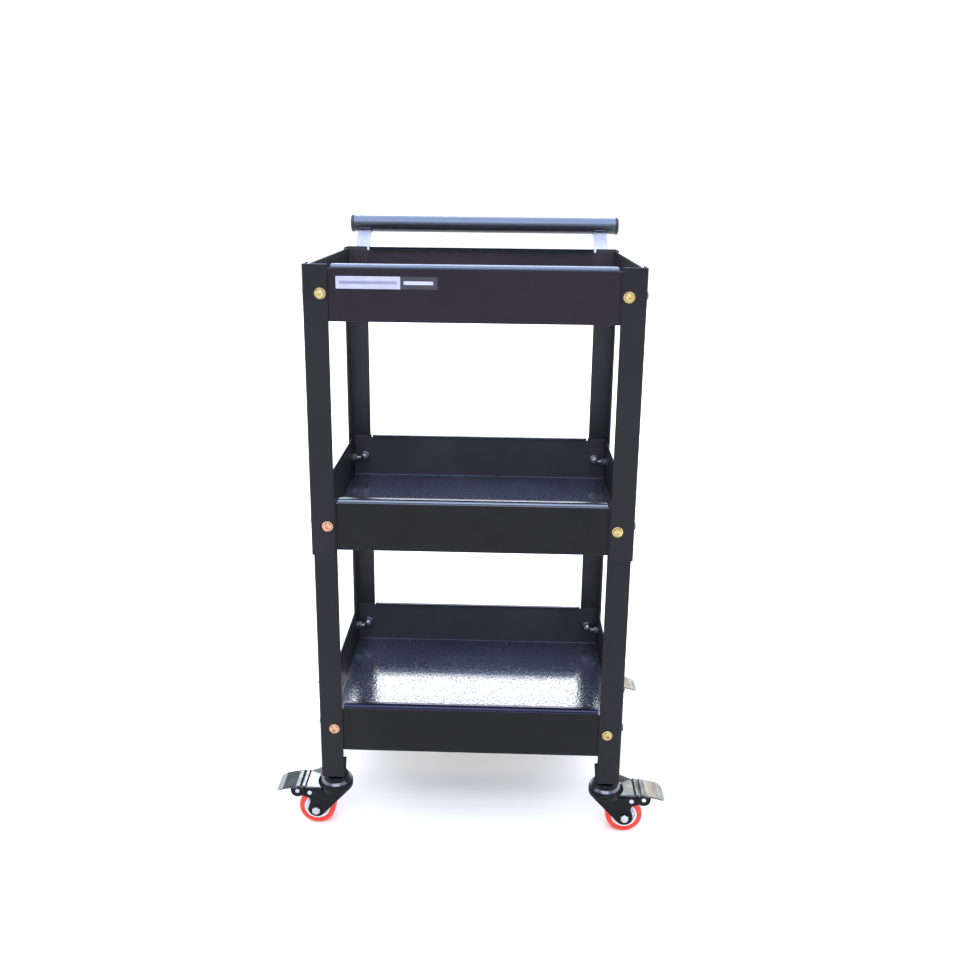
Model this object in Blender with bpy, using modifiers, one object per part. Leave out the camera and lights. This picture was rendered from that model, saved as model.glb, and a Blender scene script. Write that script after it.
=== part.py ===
"""Three-tray rolling tool cart: sheet-metal trays bolted to angle legs, on four braked swivel casters.

Lengths below are millimetres; meshes are written in metres.  X runs left to right, Y front to
back, Z up.  The floor is z = 0 and the X/Y origin is the centre of the overall footprint.
"""
import math

import bmesh
import bpy

MM = 0.001

# frame
LEG_W, LEG_D = 400.0, 305.0            # outside size over the four legs
LEG_FLANGE, LEG_T, LEG_R = 30.0, 1.6, 2.5
UPPER_Z0, UPPER_Z1 = 398.5, 760.0
LOWER_Z0, LOWER_Z1 = 79.5, 470.0
NEST_GAP = 0.3                         # air between two touching sheets
LOWER_INSET = LEG_T + NEST_GAP         # lower legs nest inside the upper ones

# trays
TRAY_Z = {"top": 692.5, "middle": 404.0, "bottom": 119.0}
TRAY_T, TRAY_WALL, TRAY_R, BEND_R = 1.2, 65.0, 2.6, 2.0
RIM_H, RIM_R, RIM_IN = 67.5, 5.0, 9.0
RIM_X, NOTCH_W, NOTCH_H = 166.5, 5.5, 62.3   # half length of the rim; slot past its end and slot floor

# bolts
BOLT_IN, BOLT_UP = 21.0, 33.5          # from the leg corner; above the tray bottom
SHANK_R, HOLE_R, HEAD_R, HEAD_H = 3.0, 3.6, 6.75, 3.6
WASHER_R, WASHER_T, NUT_R, NUT_H, TIP = 6.0, 1.6, 5.77, 5.0, 5.5

# handle
TUBE_R, TUBE_LEN, TUBE_X, TUBE_Y, TUBE_Z = 12.3, 394.0, 3.5, 187.5, 792.0
CAP_R, CAP_T, CAP_PLUG = 12.9, 4.0, 12.0
BRACKET_X, BRACKET_W, BRACKET_T = 177.0, 20.0, 2.0

# casters: radii and heights about each stem, trail measured outward along X
STEM_X, STEM_Y = 182.0, 132.0
TRAIL, WHEEL_R, WHEEL_W = 26.0, 25.0, 20.0
CROWN_R, CROWN_Z0, SWIVEL_Z = 22.0, 54.0, 58.0
DOME = [(20.9, 62.0), (20.2, 65.0), (17.4, 67.6), (15.8, 71.0), (14.2, 72.8), (11.5, 73.4)]
HEX_R, HEX_Z0 = 9.6, 74.1
FOOT_X, FOOT_Y, FOOT_T = 170.5, 121.5, 3.0
EAR_X, EAR_H, EAR_TAPER = 164.5, 29.0, 2.0
FORK_HALF, FORK_T = 12.2, 2.2          # inner half width between the side plates
AXLE_Z, LOBE_R = 25.0, 11.5
PIVOT_D, PIVOT_Z, PIVOT_R = 50.5, 54.5, 2.4
PEDAL_HALF, PEDAL_T = 18.0, 1.6

BACK_MOST = TUBE_Y + CAP_R
FRONT_MOST = -(STEM_Y + CROWN_R)
Y0 = -(BACK_MOST + FRONT_MOST) / 2     # brings the middle of the footprint to y = 0

CORNERS = {"front_left": (-1, -1), "front_right": (1, -1), "back_left": (-1, 1), "back_right": (1, 1)}

MATERIALS = {
    "black_powder_coat": ((0.018, 0.018, 0.022), 0.0, 0.42),
    "black_plastic": ((0.012, 0.012, 0.014), 0.0, 0.45),
    "yellow_zinc": ((0.62, 0.44, 0.16), 1.0, 0.32),
    "zinc_plate": ((0.62, 0.63, 0.64), 1.0, 0.28),
    "black_oxide": ((0.020, 0.020, 0.024), 0.2, 0.35),
    "red_polyurethane": ((0.86, 0.085, 0.045), 0.0, 0.38),
}


def clear_scene():
    for obj in list(bpy.data.objects):
        bpy.data.objects.remove(obj, do_unlink=True)


def collection(name):
    coll = bpy.data.collections.new(name)
    bpy.context.scene.collection.children.link(coll)
    return coll


def material(name):
    if name in bpy.data.materials:
        return bpy.data.materials[name]
    colour, metallic, rough = MATERIALS[name]
    mat = bpy.data.materials.new(name)
    mat.use_nodes = True
    shader = mat.node_tree.nodes["Principled BSDF"]
    shader.inputs["Base Color"].default_value = (*colour, 1.0)
    shader.inputs["Metallic"].default_value = metallic
    shader.inputs["Roughness"].default_value = rough
    mat.diffuse_color = (*colour, 1.0)
    return mat


def add_object(bm, name, mat_name, origin=(0.0, 0.0, 0.0), coll=None):
    """Link bm (in mm, leg-centred) as an object whose origin sits at the given point."""
    bmesh.ops.remove_doubles(bm, verts=bm.verts, dist=0.002)
    bmesh.ops.recalc_face_normals(bm, faces=bm.faces)
    for v in bm.verts:
        v.co = [(v.co[i] - origin[i]) * MM for i in range(3)]
    mesh = bpy.data.meshes.new(name)
    bm.to_mesh(mesh)
    bm.free()
    mesh.materials.append(material(mat_name))
    obj = bpy.data.objects.new(name, mesh)
    obj.location = (origin[0] * MM, (origin[1] + Y0) * MM, origin[2] * MM)
    (coll or CART).objects.link(obj)
    return obj


def finish(obj, angle=32.0):
    mesh = obj.data
    mesh.polygons.foreach_set("use_smooth", [True] * len(mesh.polygons))
    mesh.set_sharp_from_angle(angle=math.radians(angle))


def boolean(obj, cutter, operation):
    mod = obj.modifiers.new(cutter.name, "BOOLEAN")
    mod.operation = operation
    mod.solver = "EXACT"
    mod.object = cutter


def bake(obj):
    """Replace the object's mesh by its evaluated one and drop the modifiers."""
    deps = bpy.context.evaluated_depsgraph_get()
    mesh = bpy.data.meshes.new_from_object(obj.evaluated_get(deps))
    obj.modifiers.clear()
    obj.data = mesh
    bm = bmesh.new()
    bm.from_mesh(mesh)
    bmesh.ops.remove_doubles(bm, verts=bm.verts, dist=0.000005)
    bmesh.ops.dissolve_limit(bm, angle_limit=math.radians(0.5), verts=bm.verts, edges=bm.edges)
    bmesh.ops.triangulate(bm, faces=[f for f in bm.faces if len(f.verts) > 4])
    bm.to_mesh(mesh)
    bm.free()


def helper(bm, name):
    obj = add_object(bm, name, "black_oxide", coll=CUTTERS)
    obj.hide_render = True
    obj.display_type = "WIRE"
    return obj


def prism(bm, outline, axis, lo, hi):
    """Closed prism of a 2-D outline swept along axis ('x', 'y' or 'z') from lo to hi."""
    place = {"x": lambda a, b, t: (t, a, b), "y": lambda a, b, t: (a, t, b),
             "z": lambda a, b, t: (a, b, t)}[axis]
    rings = [[bm.verts.new(place(a, b, t)) for a, b in outline] for t in (lo, hi)]
    n = len(outline)
    for i in range(n):
        j = (i + 1) % n
        bm.faces.new((rings[0][i], rings[0][j], rings[1][j], rings[1][i]))
    bm.faces.new(rings[0])
    bm.faces.new(rings[1])


def arc(cx, cy, r, a0, a1, steps):
    return [(cx + r * math.cos(math.radians(a0 + (a1 - a0) * k / steps)),
             cy + r * math.sin(math.radians(a0 + (a1 - a0) * k / steps))) for k in range(steps + 1)]


def lathe(bm, rings, centre, axis="z", sign=1.0, phase=0.0):
    """Closed turned solid: rings are (radius, height, sides); sides may double or halve."""
    def point(r, h, a):
        u, v = r * math.cos(a), r * math.sin(a)
        off = {"z": (u, v, h * sign), "y": (u, h * sign, v), "x": (h * sign, u, v)}[axis]
        return [centre[i] + off[i] for i in range(3)]
    loops = [[bm.verts.new(point(r, h, phase + 2 * math.pi * k / n)) for k in range(n)]
             for r, h, n in rings]
    for a, b in zip(loops, loops[1:]):
        if len(a) == len(b):
            for i in range(len(a)):
                j = (i + 1) % len(a)
                bm.faces.new((a[i], a[j], b[j], b[i]))
            continue
        many, few = (a, b) if len(a) > len(b) else (b, a)
        for i in range(len(few)):
            j = (i + 1) % len(few)
            m0, m1, m2 = many[2 * i], many[2 * i + 1], many[(2 * i + 2) % len(many)]
            bm.faces.new((m0, m1, few[i]))
            bm.faces.new((m1, few[j], few[i]))
            bm.faces.new((m1, m2, few[j]))
    bm.faces.new(loops[0])
    bm.faces.new(loops[-1])


def ribbon(path, thickness):
    """Closed outline of a flat strip: path plus its offset copy, mitred at each bend."""
    def normal(p, q):
        d = math.hypot(q[0] - p[0], q[1] - p[1])
        return (-(q[1] - p[1]) / d, (q[0] - p[0]) / d)
    norms = [normal(p, q) for p, q in zip(path, path[1:])]
    back = []
    for i, p in enumerate(path):
        n0, n1 = norms[max(i - 1, 0)], norms[min(i, len(norms) - 1)]
        s = 1.0 + n0[0] * n1[0] + n0[1] * n1[1]
        back.append((p[0] + thickness * (n0[0] + n1[0]) / s, p[1] + thickness * (n0[1] + n1[1]) / s))
    return path + back[::-1]


# ---- trays ---------------------------------------------------------------------------------

def tray(level):
    inset = (NEST_GAP + LEG_T) if level == "top" else LOWER_INSET + NEST_GAP + LEG_T
    hx, hy, z0 = LEG_W / 2 - inset, LEG_D / 2 - inset, TRAY_Z[level]
    bm = bmesh.new()
    # outer skin: rows of the pan section, each a rounded rectangle

    def rect(shrink, z):
        """Rounded rectangle, with vertices at the rim ends on the front and back."""
        r = max(TRAY_R - shrink, 0.4)
        ax, ay = hx - shrink, hy - shrink
        pts = []
        for sx, sy, a0 in ((1, 1, 0), (-1, 1, 90), (-1, -1, 180), (1, -1, 270)):
            pts += arc(sx * (ax - r), sy * (ay - r), r, a0, a0 + 90, 2)
            if a0 in (0, 180):
                for k in (RIM_X + NOTCH_W, RIM_X):
                    pts.append((sx * k, sy * ay))
                for k in (RIM_X, RIM_X + NOTCH_W):
                    pts.append((-sx * k, sy * ay))
        return [bm.verts.new((x, y, z)) for x, y in pts]

    rows = [rect(BEND_R - BEND_R * math.sin(math.radians(a)), z0 + BEND_R - BEND_R * math.cos(math.radians(a)))
            for a in (0, 45, 90)]
    notch_z, bend_z = z0 + NOTCH_H, z0 + RIM_H - RIM_R
    rows.append(rect(0.0, notch_z))
    n = len(rows[0])
    bm.faces.new(rows[0])
    for a, b in zip(rows, rows[1:]):
        for i in range(n):
            bm.faces.new((a[i], a[(i + 1) % n], b[(i + 1) % n], b[i]))
    # above the notch: plain wall at the sides and corners, rolled rim along front and back
    top = [None] * n
    for i in range(n):
        a, b = rows[-1][i], rows[-1][(i + 1) % n]
        if max(abs(a.co.x), abs(b.co.x)) < RIM_X + NOTCH_W + 0.5 and abs(a.co.y - b.co.y) < 0.01:
            if max(abs(a.co.x), abs(b.co.x)) < RIM_X + 0.5:
                side = 1.0 if a.co.y > 0 else -1.0
                prev = (a, b)
                path = [(0.0, bend_z)] + [(RIM_R - RIM_R * math.cos(math.radians(t)),
                                           bend_z + RIM_R * math.sin(math.radians(t))) for t in (30, 60, 90)]
                path.append((RIM_IN - 2.5, z0 + RIM_H))
                path.append((RIM_IN, z0 + RIM_H))
                for k, (inward, z) in enumerate(path):
                    trim = 2.5 if k == len(path) - 1 else 0.0
                    row = [bm.verts.new((v.co.x - math.copysign(trim, v.co.x), side * (hy - inward), z))
                           for v in (a, b)]
                    bm.faces.new((prev[0], prev[1], row[1], row[0]))
                    prev = row
            continue
        for k, v in ((i, a), ((i + 1) % n, b)):
            if top[k] is None:
                top[k] = bm.verts.new((v.co.x, v.co.y, z0 + TRAY_WALL))
        bm.faces.new((a, b, top[(i + 1) % n], top[i]))
    for face in bm.faces:
        face.smooth = True
    bmesh.ops.recalc_face_normals(bm, faces=bm.faces)
    floor = min(bm.faces, key=lambda f: f.calc_center_median().z)
    if floor.normal.z > 0:
        bmesh.ops.reverse_faces(bm, faces=bm.faces)
    for v in bm.verts:
        v.co = v.co * MM
    mesh = bpy.data.meshes.new("tray_" + level)
    bm.to_mesh(mesh)
    bm.free()
    mesh.materials.append(material("black_powder_coat"))
    obj = bpy.data.objects.new("tray_" + level, mesh)
    obj.location = (0.0, Y0 * MM, 0.0)
    CART.objects.link(obj)
    solid = obj.modifiers.new("sheet", "SOLIDIFY")
    solid.thickness = TRAY_T * MM
    solid.offset = -1.0
    solid.use_even_offset = True
    boolean(obj, BOLT_CUTS[level], "DIFFERENCE")
    bake(obj)
    finish(obj)


# ---- legs ----------------------------------------------------------------------------------

def angle_outline(sx, sy, inset):
    """L section of an angle leg whose outer corner is at (LEG_W/2 - inset, LEG_D/2 - inset)."""
    flange = LEG_FLANGE
    pts = [(flange, 0.0), (flange, LEG_T), (LEG_T + 0.6, LEG_T), (LEG_T, LEG_T + 0.6), (LEG_T, flange), (0.0, flange)]
    pts += [(LEG_R - LEG_R * math.cos(math.radians(t)), LEG_R - LEG_R * math.sin(math.radians(t)))
            for t in (0, 30, 60, 90)]
    cx, cy = LEG_W / 2 - inset, LEG_D / 2 - inset
    return [(sx * (cx - a), sy * (cy - b)) for a, b in pts]


def leg(corner, upper):
    sx, sy = CORNERS[corner]
    inset = 0.0 if upper else LOWER_INSET
    z0, z1 = (UPPER_Z0, UPPER_Z1) if upper else (LOWER_Z0, LOWER_Z1)
    bm = bmesh.new()
    prism(bm, angle_outline(sx, sy, inset), "z", z0, z1)
    name = ("upper_leg_" if upper else "lower_leg_") + corner
    obj = add_object(bm, name, "black_powder_coat")
    if not upper:
        cx, cy = LEG_W / 2 - inset, LEG_D / 2 - inset
        in_x, in_y = cx - LEG_T / 2, cy - LEG_T / 2
        far_x, far_y, ear = EAR_X, FOOT_Y, z0 + EAR_H
        # welded foot: level plate with a stem hole, and a tapered ear along each flange
        bm = bmesh.new()
        prism(bm, [(sx * FOOT_X, sy * (FOOT_Y + 6.5)), (sx * (FOOT_X + 5.5), sy * FOOT_Y), (sx * in_x, sy * FOOT_Y),
                   (sx * in_x, sy * in_y), (sx * FOOT_X, sy * in_y)], "z", z0, z0 + FOOT_T)
        plate = helper(bm, name + "_plate")
        bm = bmesh.new()
        prism(bm, [(sx * in_x, z0 + 0.5), (sx * (far_x + EAR_TAPER), z0 + 0.5), (sx * far_x, ear - 1.0),
                   (sx * (far_x + 0.6), ear), (sx * in_x, ear)], "y", sy * in_y, sy * (cy - LEG_T - 2.0))
        ear_x = helper(bm, name + "_ear_x")
        bm = bmesh.new()
        prism(bm, [(sy * in_y, z0 + 0.5), (sy * far_y, z0 + 0.5), (sy * far_y, z0 + 12.0), (sy * (far_y + 6.0), ear),
                   (sy * in_y, ear)], "x", sx * in_x, sx * (cx - LEG_T - 2.0))
        ear_y = helper(bm, name + "_ear_y")
        bm = bmesh.new()
        lathe(bm, [(5.6, z0 - 5.0, 12), (5.6, z0 + 9.0, 12)], (sx * STEM_X, sy * STEM_Y, 0.0))
        hole = helper(bm, name + "_stem_hole")
        for tool in (plate, ear_x, ear_y):
            boolean(obj, tool, "UNION")
        boolean(obj, hole, "DIFFERENCE")
    for level in (("top", "middle") if upper else ("middle", "bottom")):
        boolean(obj, BOLT_CUTS[level], "DIFFERENCE")
    bake(obj)
    finish(obj)


# ---- bolts ---------------------------------------------------------------------------------

def bolt_sites(level):
    """Axis point on the outermost sheet face, outward axis and stack depth of each bolt."""
    z = TRAY_Z[level] + BOLT_UP
    for corner, (sx, sy) in CORNERS.items():
        if level == "bottom":
            outer = LOWER_INSET
        else:
            outer = 0.0
        sheets = LEG_T * (2 if level == "middle" else 1) + TRAY_T
        gaps = NEST_GAP * (2 if level == "middle" else 1)
        stack = sheets + gaps
        back = sy > 0 and level == "top"
        yield corner + "_end", (sx * (LEG_W / 2 - BOLT_IN), sy * (LEG_D / 2 - outer), z), "y", sy, stack, back
        yield corner + "_side", (sx * (LEG_W / 2 - outer), sy * (LEG_D / 2 - BOLT_IN), z), "x", sx, stack, False


def bolt_cutters(level):
    bm = bmesh.new()
    for _, p, axis, sign, stack, _ in bolt_sites(level):
        lathe(bm, [(HOLE_R, -stack - 5.0, 6), (HOLE_R, 5.0, 6)], p, axis, sign)
    return helper(bm, "bolt_holes_" + level)


def bolts(level):
    for label, p, axis, sign, stack, bracket in bolt_sites(level):
        out = NEST_GAP + (BRACKET_T + NEST_GAP if bracket else 0.0)
        back = -stack - NEST_GAP
        washer, nut = back - WASHER_T, back - WASHER_T - NUT_H
        bm = bmesh.new()
        lathe(bm, [(SHANK_R - 0.6, nut - TIP, 6), (SHANK_R, nut - TIP + 0.6, 6), (SHANK_R, nut, 6), (NUT_R, nut, 6),
                   (NUT_R, washer, 6), (WASHER_R, washer, 12), (WASHER_R, back, 12), (SHANK_R, back, 6),
                   (SHANK_R, out, 6), (HEAD_R, out, 12), (HEAD_R, out + 0.9, 12), (HEAD_R - 3.0, out + HEAD_H, 12)], p, axis, sign)
        obj = add_object(bm, "bolt_%s_%s" % (level, label), "yellow_zinc", p)
        finish(obj)


# ---- handle --------------------------------------------------------------------------------

def handle():
    half = TUBE_LEN / 2
    wall = 1.5
    bm = bmesh.new()
    outer = arc(TUBE_Y, TUBE_Z, TUBE_R, 0, 360, 24)[:-1]
    inner = arc(TUBE_Y, TUBE_Z, TUBE_R - wall, 0, 360, 24)[:-1]
    rings = [[bm.verts.new((TUBE_X + x, y, z)) for y, z in pts] for x, pts in
             ((-half, inner), (-half, outer), (half, outer), (half, inner))]
    for a, b in zip(rings, rings[1:] + rings[:1]):
        for i in range(24):
            j = (i + 1) % 24
            bm.faces.new((a[i], a[j], b[j], b[i]))
    obj = add_object(bm, "handle_tube", "black_powder_coat", (TUBE_X, TUBE_Y, TUBE_Z))
    finish(obj)
    for side, sx in (("left", -1), ("right", 1)):
        p = (TUBE_X + sx * (half + NEST_GAP), TUBE_Y, TUBE_Z)
        plug = TUBE_R - wall - 0.4
        bm = bmesh.new()
        lathe(bm, [(plug, -CAP_PLUG, 20), (plug, 0.0, 20), (CAP_R, 0.0, 20), (CAP_R, CAP_T - 1.4, 20),
                   (CAP_R - 1.2, CAP_T - 0.3, 20), (CAP_R - 3.6, CAP_T, 20)],
              p, "x", sx)
        finish(add_object(bm, "handle_cap_" + side, "black_plastic", p))
        # strip from the top tray's back bolts up to the underside of the tube
        y_in = LEG_D / 2 + NEST_GAP
        bolt_z = TRAY_Z["top"] + BOLT_UP
        reach = TUBE_R + 0.35
        tip = (TUBE_Y - reach * math.sin(math.radians(48)), TUBE_Z - reach * math.cos(math.radians(48)))
        path = [(y_in, bolt_z - 13.0), (y_in, UPPER_Z1 - 13.0), (y_in + 1.2, UPPER_Z1 - 9.0), (tip[0] - 9.5, tip[1] - 10.0), tip]
        for a in (32, 12, -8):
            path.append((TUBE_Y - reach * math.sin(math.radians(a)), TUBE_Z - reach * math.cos(math.radians(a))))
        bm = bmesh.new()
        x0, x1 = sx * (BRACKET_X - BRACKET_W / 2), sx * (BRACKET_X + BRACKET_W / 2)
        prism(bm, ribbon(path, -BRACKET_T), "x", x0, x1)
        obj = add_object(bm, "handle_bracket_" + side, "zinc_plate")
        boolean(obj, BOLT_CUTS["bracket"], "DIFFERENCE")
        bake(obj)
        finish(obj)


def bracket_cutters():
    bm = bmesh.new()
    for sx in (-1, 1):
        lathe(bm, [(HOLE_R, 0.1, 6), (HOLE_R, BRACKET_T + 3.0, 6)],
              (sx * (LEG_W / 2 - BOLT_IN), LEG_D / 2, TRAY_Z["top"] + BOLT_UP), "y", 1)
    return helper(bm, "bolt_holes_bracket")


# ---- casters -------------------------------------------------------------------------------

def caster(corner):
    sx, sy = CORNERS[corner]
    sxm, sym = sx * STEM_X, sy * STEM_Y
    centre = (sxm, sym, 0.0)
    # stem: king pin head under the crown, hex nut, threaded end and lock nut
    bm = bmesh.new()
    lathe(bm, [(7.0, CROWN_Z0 - 3.4, 12), (8.0, CROWN_Z0 - 0.4, 12), (5.0, CROWN_Z0 - 0.4, 6), (5.0, HEX_Z0, 6),
               (HEX_R, HEX_Z0, 6), (HEX_R, LOWER_Z0 - 0.4, 6), (5.0, LOWER_Z0 - 0.4, 6),
               (5.0, LOWER_Z0 + FOOT_T + 0.4, 6), (9.0, LOWER_Z0 + FOOT_T + 0.4, 6), (9.0, LOWER_Z0 + 11.0, 6),
               (5.0, LOWER_Z0 + 11.0, 6), (5.0, LOWER_Z0 + 17.0, 6), (4.2, LOWER_Z0 + 18.0, 6)], centre)
    finish(add_object(bm, "caster_stem_" + corner, "black_oxide", (sxm, sym, SWIVEL_Z)))

    # fork: domed crown and two side plates trailing outward, joined as one pressing
    bm = bmesh.new()
    lathe(bm, [(r, z, 20) for r, z in [(CROWN_R, CROWN_Z0), (CROWN_R, CROWN_Z0 + 7.0)] + DOME], centre)
    fork = add_object(bm, "caster_fork_" + corner, "black_oxide", (sxm, sym, SWIVEL_Z))
    side = [(-16.4, CROWN_Z0 + 1.0), (-16.4, CROWN_Z0 - 0.4)] + arc(TRAIL, AXLE_Z, LOBE_R, 222, 366, 6)
    side += [(34.2, 36.0), (33.8, 40.0), (37.0, 43.0), (44.0, 45.3), (PIVOT_D + 1.0, 46.0),
             (PIVOT_D + 6.5, 49.5), (PIVOT_D + 8.0, PIVOT_Z), (PIVOT_D + 6.0, 57.6), (PIVOT_D, 58.6),
             (PIVOT_D - 8.0, 58.8), (20.0, CROWN_Z0 + 1.0)]
    tools = []
    for k in (-1, 1):
        bm = bmesh.new()
        prism(bm, [(sxm + sx * d, z) for d, z in side], "y", sym + k * FORK_HALF, sym + k * (FORK_HALF + FORK_T))
        tools.append(helper(bm, "fork_side_%s_%d" % (corner, k)))
        boolean(fork, tools[-1], "UNION")
    bm = bmesh.new()
    lathe(bm, [(5.7, CROWN_Z0 - 5.0, 10), (5.7, HEX_Z0 + 5.0, 10)], centre)
    tools.append(helper(bm, "fork_pin_hole_" + corner))
    bm = bmesh.new()
    for d, z, r in ((TRAIL, AXLE_Z, 3.8), (PIVOT_D, PIVOT_Z, PIVOT_R + 0.8)):
        lathe(bm, [(r, -FORK_HALF - 9.0, 6), (r, FORK_HALF + 9.0, 6)], (sxm + sx * d, sym, z), "y")
    tools.append(helper(bm, "fork_pin_bores_" + corner))
    for tool in tools[2:]:
        boolean(fork, tool, "DIFFERENCE")
    bake(fork)
    finish(fork)

    # wheel: tyre with rounded shoulders bonded on a recessed hub, bored for the axle
    axle = (sxm + sx * TRAIL, sym, AXLE_Z)
    half, bore = WHEEL_W / 2, 3.5
    profile = [(bore, half), (7.0, half), (7.5, half - 3.2), (16.0, half - 3.2), (17.4, half - 0.6),
               (22.3, half), (WHEEL_R, half - 4.2)]
    section = [(r, -y) for r, y in profile] + [(r, y) for r, y in profile[::-1]]
    bm = bmesh.new()
    n = 18
    loops = [[bm.verts.new((axle[0] + r * math.cos(2 * math.pi * k / n), axle[1] + y,
                            axle[2] + r * math.sin(2 * math.pi * k / n))) for k in range(n)] for r, y in section]
    for a, b in zip(loops, loops[1:] + loops[:1]):
        for i in range(n):
            j = (i + 1) % n
            bm.faces.new((a[i], a[j], b[j], b[i]))
    finish(add_object(bm, "caster_wheel_" + corner, "red_polyurethane", axle))

    # axle bolt: hex head, shank and domed nut
    outer = FORK_HALF + FORK_T + 0.35
    bm = bmesh.new()
    lathe(bm, [(5.8, -outer - 4.0, 6), (5.8, -outer, 6), (3.0, -outer, 6), (3.0, outer, 6), (5.8, outer, 6),
               (5.8, outer + 3.6, 6), (3.0, outer + 5.2, 6)], axle, "y", -sy)
    finish(add_object(bm, "caster_axle_" + corner, "zinc_plate", axle))

    # brake pedal: pressed see-saw plate with two cheeks on a rivet through the fork horn; its
    # inner end is cut round the crown, with a low flange turned up along its rear edge
    pivot = (sxm + sx * PIVOT_D, sym, PIVOT_Z)
    path = [(25.2, 61.8), (38.0, 61.8), (40.0, 63.2), (43.0, 63.2), (45.0, 61.8),
            (47.5, 63.2), (50.5, 63.2), (52.5, 61.6), (60.0, 60.5), (71.5, 57.8), (77.5, 54.8), (79.7, 50.8)]
    bm = bmesh.new()
    prism(bm, ribbon([(sxm + sx * d, z) for d, z in path], -sx * PEDAL_T), "y", sym - PEDAL_HALF, sym + PEDAL_HALF)
    pedal = add_object(bm, "caster_brake_" + corner, "zinc_plate", pivot)
    cheek_in = FORK_HALF + FORK_T + 0.4
    flange = [(17.4, 60.5), (38.0, 60.5), (38.0, 61.9), (20.0, 69.2), (17.4, 69.2)]
    bm = bmesh.new()
    prism(bm, [(sxm + sx * d, z) for d, z in flange], "y", sym + PEDAL_HALF - PEDAL_T, sym + PEDAL_HALF - 0.2)
    tools = [helper(bm, "pedal_flange_" + corner)]
    for k in (-1, 1):
        bm = bmesh.new()
        prism(bm, [(sxm + sx * d, z) for d, z in
                   [(PIVOT_D - 9.0, 61.2)] + arc(PIVOT_D, PIVOT_Z, 9.2, 190, 350, 4) + [(PIVOT_D + 10.0, 59.6)]],
              "y", sym + k * cheek_in, sym + k * (cheek_in + PEDAL_T))
        tools.append(helper(bm, "pedal_cheek_%s_%d" % (corner, k)))
        bm = bmesh.new()
        prism(bm, [(sxm + sx * d, sym + k * y) for d, y in ((16.6, PEDAL_HALF), (16.6, 15.8), (20.6, 12.5), (26.5, 12.5), (26.5, PEDAL_HALF))],
              "z", 60.25, 61.75)
        tools.append(helper(bm, "pedal_wing_%s_%d" % (corner, k)))
    bm = bmesh.new()
    rivet = cheek_in + PEDAL_T + 1.4
    lathe(bm, [(PIVOT_R, -rivet, 8), (PIVOT_R, rivet, 8)], pivot, "y")
    tools.append(helper(bm, "pedal_rivet_" + corner))
    for tool in tools:
        boolean(pedal, tool, "UNION")
    bake(pedal)
    finish(pedal)


clear_scene()
CART = collection("rolling_tool_cart")
CUTTERS = collection("cutters")
BOLT_CUTS = {level: bolt_cutters(level) for level in TRAY_Z}
BOLT_CUTS["bracket"] = bracket_cutters()
for LEVEL in TRAY_Z:
    tray(LEVEL)
    bolts(LEVEL)
for CORNER in CORNERS:
    leg(CORNER, True)
    leg(CORNER, False)
    caster(CORNER)
handle()
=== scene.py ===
import math

import bmesh
import bpy
from mathutils import Matrix, Vector


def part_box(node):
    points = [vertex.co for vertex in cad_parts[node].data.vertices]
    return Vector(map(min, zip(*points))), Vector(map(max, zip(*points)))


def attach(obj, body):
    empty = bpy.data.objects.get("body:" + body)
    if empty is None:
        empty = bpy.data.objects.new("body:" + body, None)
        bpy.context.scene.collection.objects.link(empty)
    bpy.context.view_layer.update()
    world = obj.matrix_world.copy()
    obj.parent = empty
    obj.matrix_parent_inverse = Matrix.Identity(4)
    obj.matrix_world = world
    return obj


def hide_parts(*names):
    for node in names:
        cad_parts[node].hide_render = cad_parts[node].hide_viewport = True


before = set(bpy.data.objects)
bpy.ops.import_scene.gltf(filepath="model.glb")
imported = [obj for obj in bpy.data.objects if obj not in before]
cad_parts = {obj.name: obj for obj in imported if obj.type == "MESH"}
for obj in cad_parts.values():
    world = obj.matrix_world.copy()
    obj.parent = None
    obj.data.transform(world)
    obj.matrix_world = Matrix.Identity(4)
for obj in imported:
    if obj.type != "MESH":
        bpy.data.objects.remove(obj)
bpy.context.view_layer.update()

MM = 0.001
SIDES = {"left": -1, "right": 1}
CORNERS = {"front_left": (-1, -1), "front_right": (1, -1), "back_left": (-1, 1),
           "back_right": (1, 1)}


def mm_box(node):
    lo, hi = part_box(node)
    return [v / MM for v in lo], [v / MM for v in hi]


# ---- sizes in mm, most of them read from the frame -------------------------------------------
# Pieces are written about the legs' centre, which lies at y = Y0; piece() moves them there.

_lo, _hi = mm_box("tray_top")
Y0 = (_lo[1] + _hi[1]) / 2
TOP_HX, TOP_HY = _hi[0], (_hi[1] - _lo[1]) / 2
_lo, _hi = mm_box("tray_middle")
LOW_HX, LOW_HY = _hi[0], (_hi[1] - _lo[1]) / 2
TRAYS = {"top": (TOP_HX, TOP_HY), "middle": (LOW_HX, LOW_HY), "bottom": (LOW_HX, LOW_HY)}
TRAY_Z = {level: mm_box("tray_" + level)[0][2] for level in TRAYS}
_lo, _hi = mm_box("upper_leg_front_right")
LEG_X, LEG_Y, UP_Z0, UP_Z1, FLANGE = _hi[0], Y0 - _lo[1], _lo[2], _hi[2], _hi[0] - _lo[0]
_lo, _hi = mm_box("lower_leg_front_right")
LOW_X, LOW_Y, LOW_Z0, LOW_Z1 = _hi[0], Y0 - _lo[1], _lo[2], _hi[2]
LEG_T, SHEET_T, GAP = 1.6, 1.2, 0.3  # sheet thicknesses, and the gap between two bolted parts
RIM_H, RIM_R, RIM_IN = 67.5, 5.0, 9.0  # rolled rim: height over the floor, bend radius, depth
WALL_H, NOTCH_H = 65.0, 62.3  # end wall height, and wall height in the notch beside a rim
RIM_X, NOTCH_X = 166.5, 172.0  # half-lengths of the rim and of the notched stretch
TRAY_CORNER_R, TRAY_BEND_R = 2.6, 2.0  # wall corners in plan, and wall to floor
_lo, _hi = mm_box("bolt_top_front_right_end")
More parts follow.
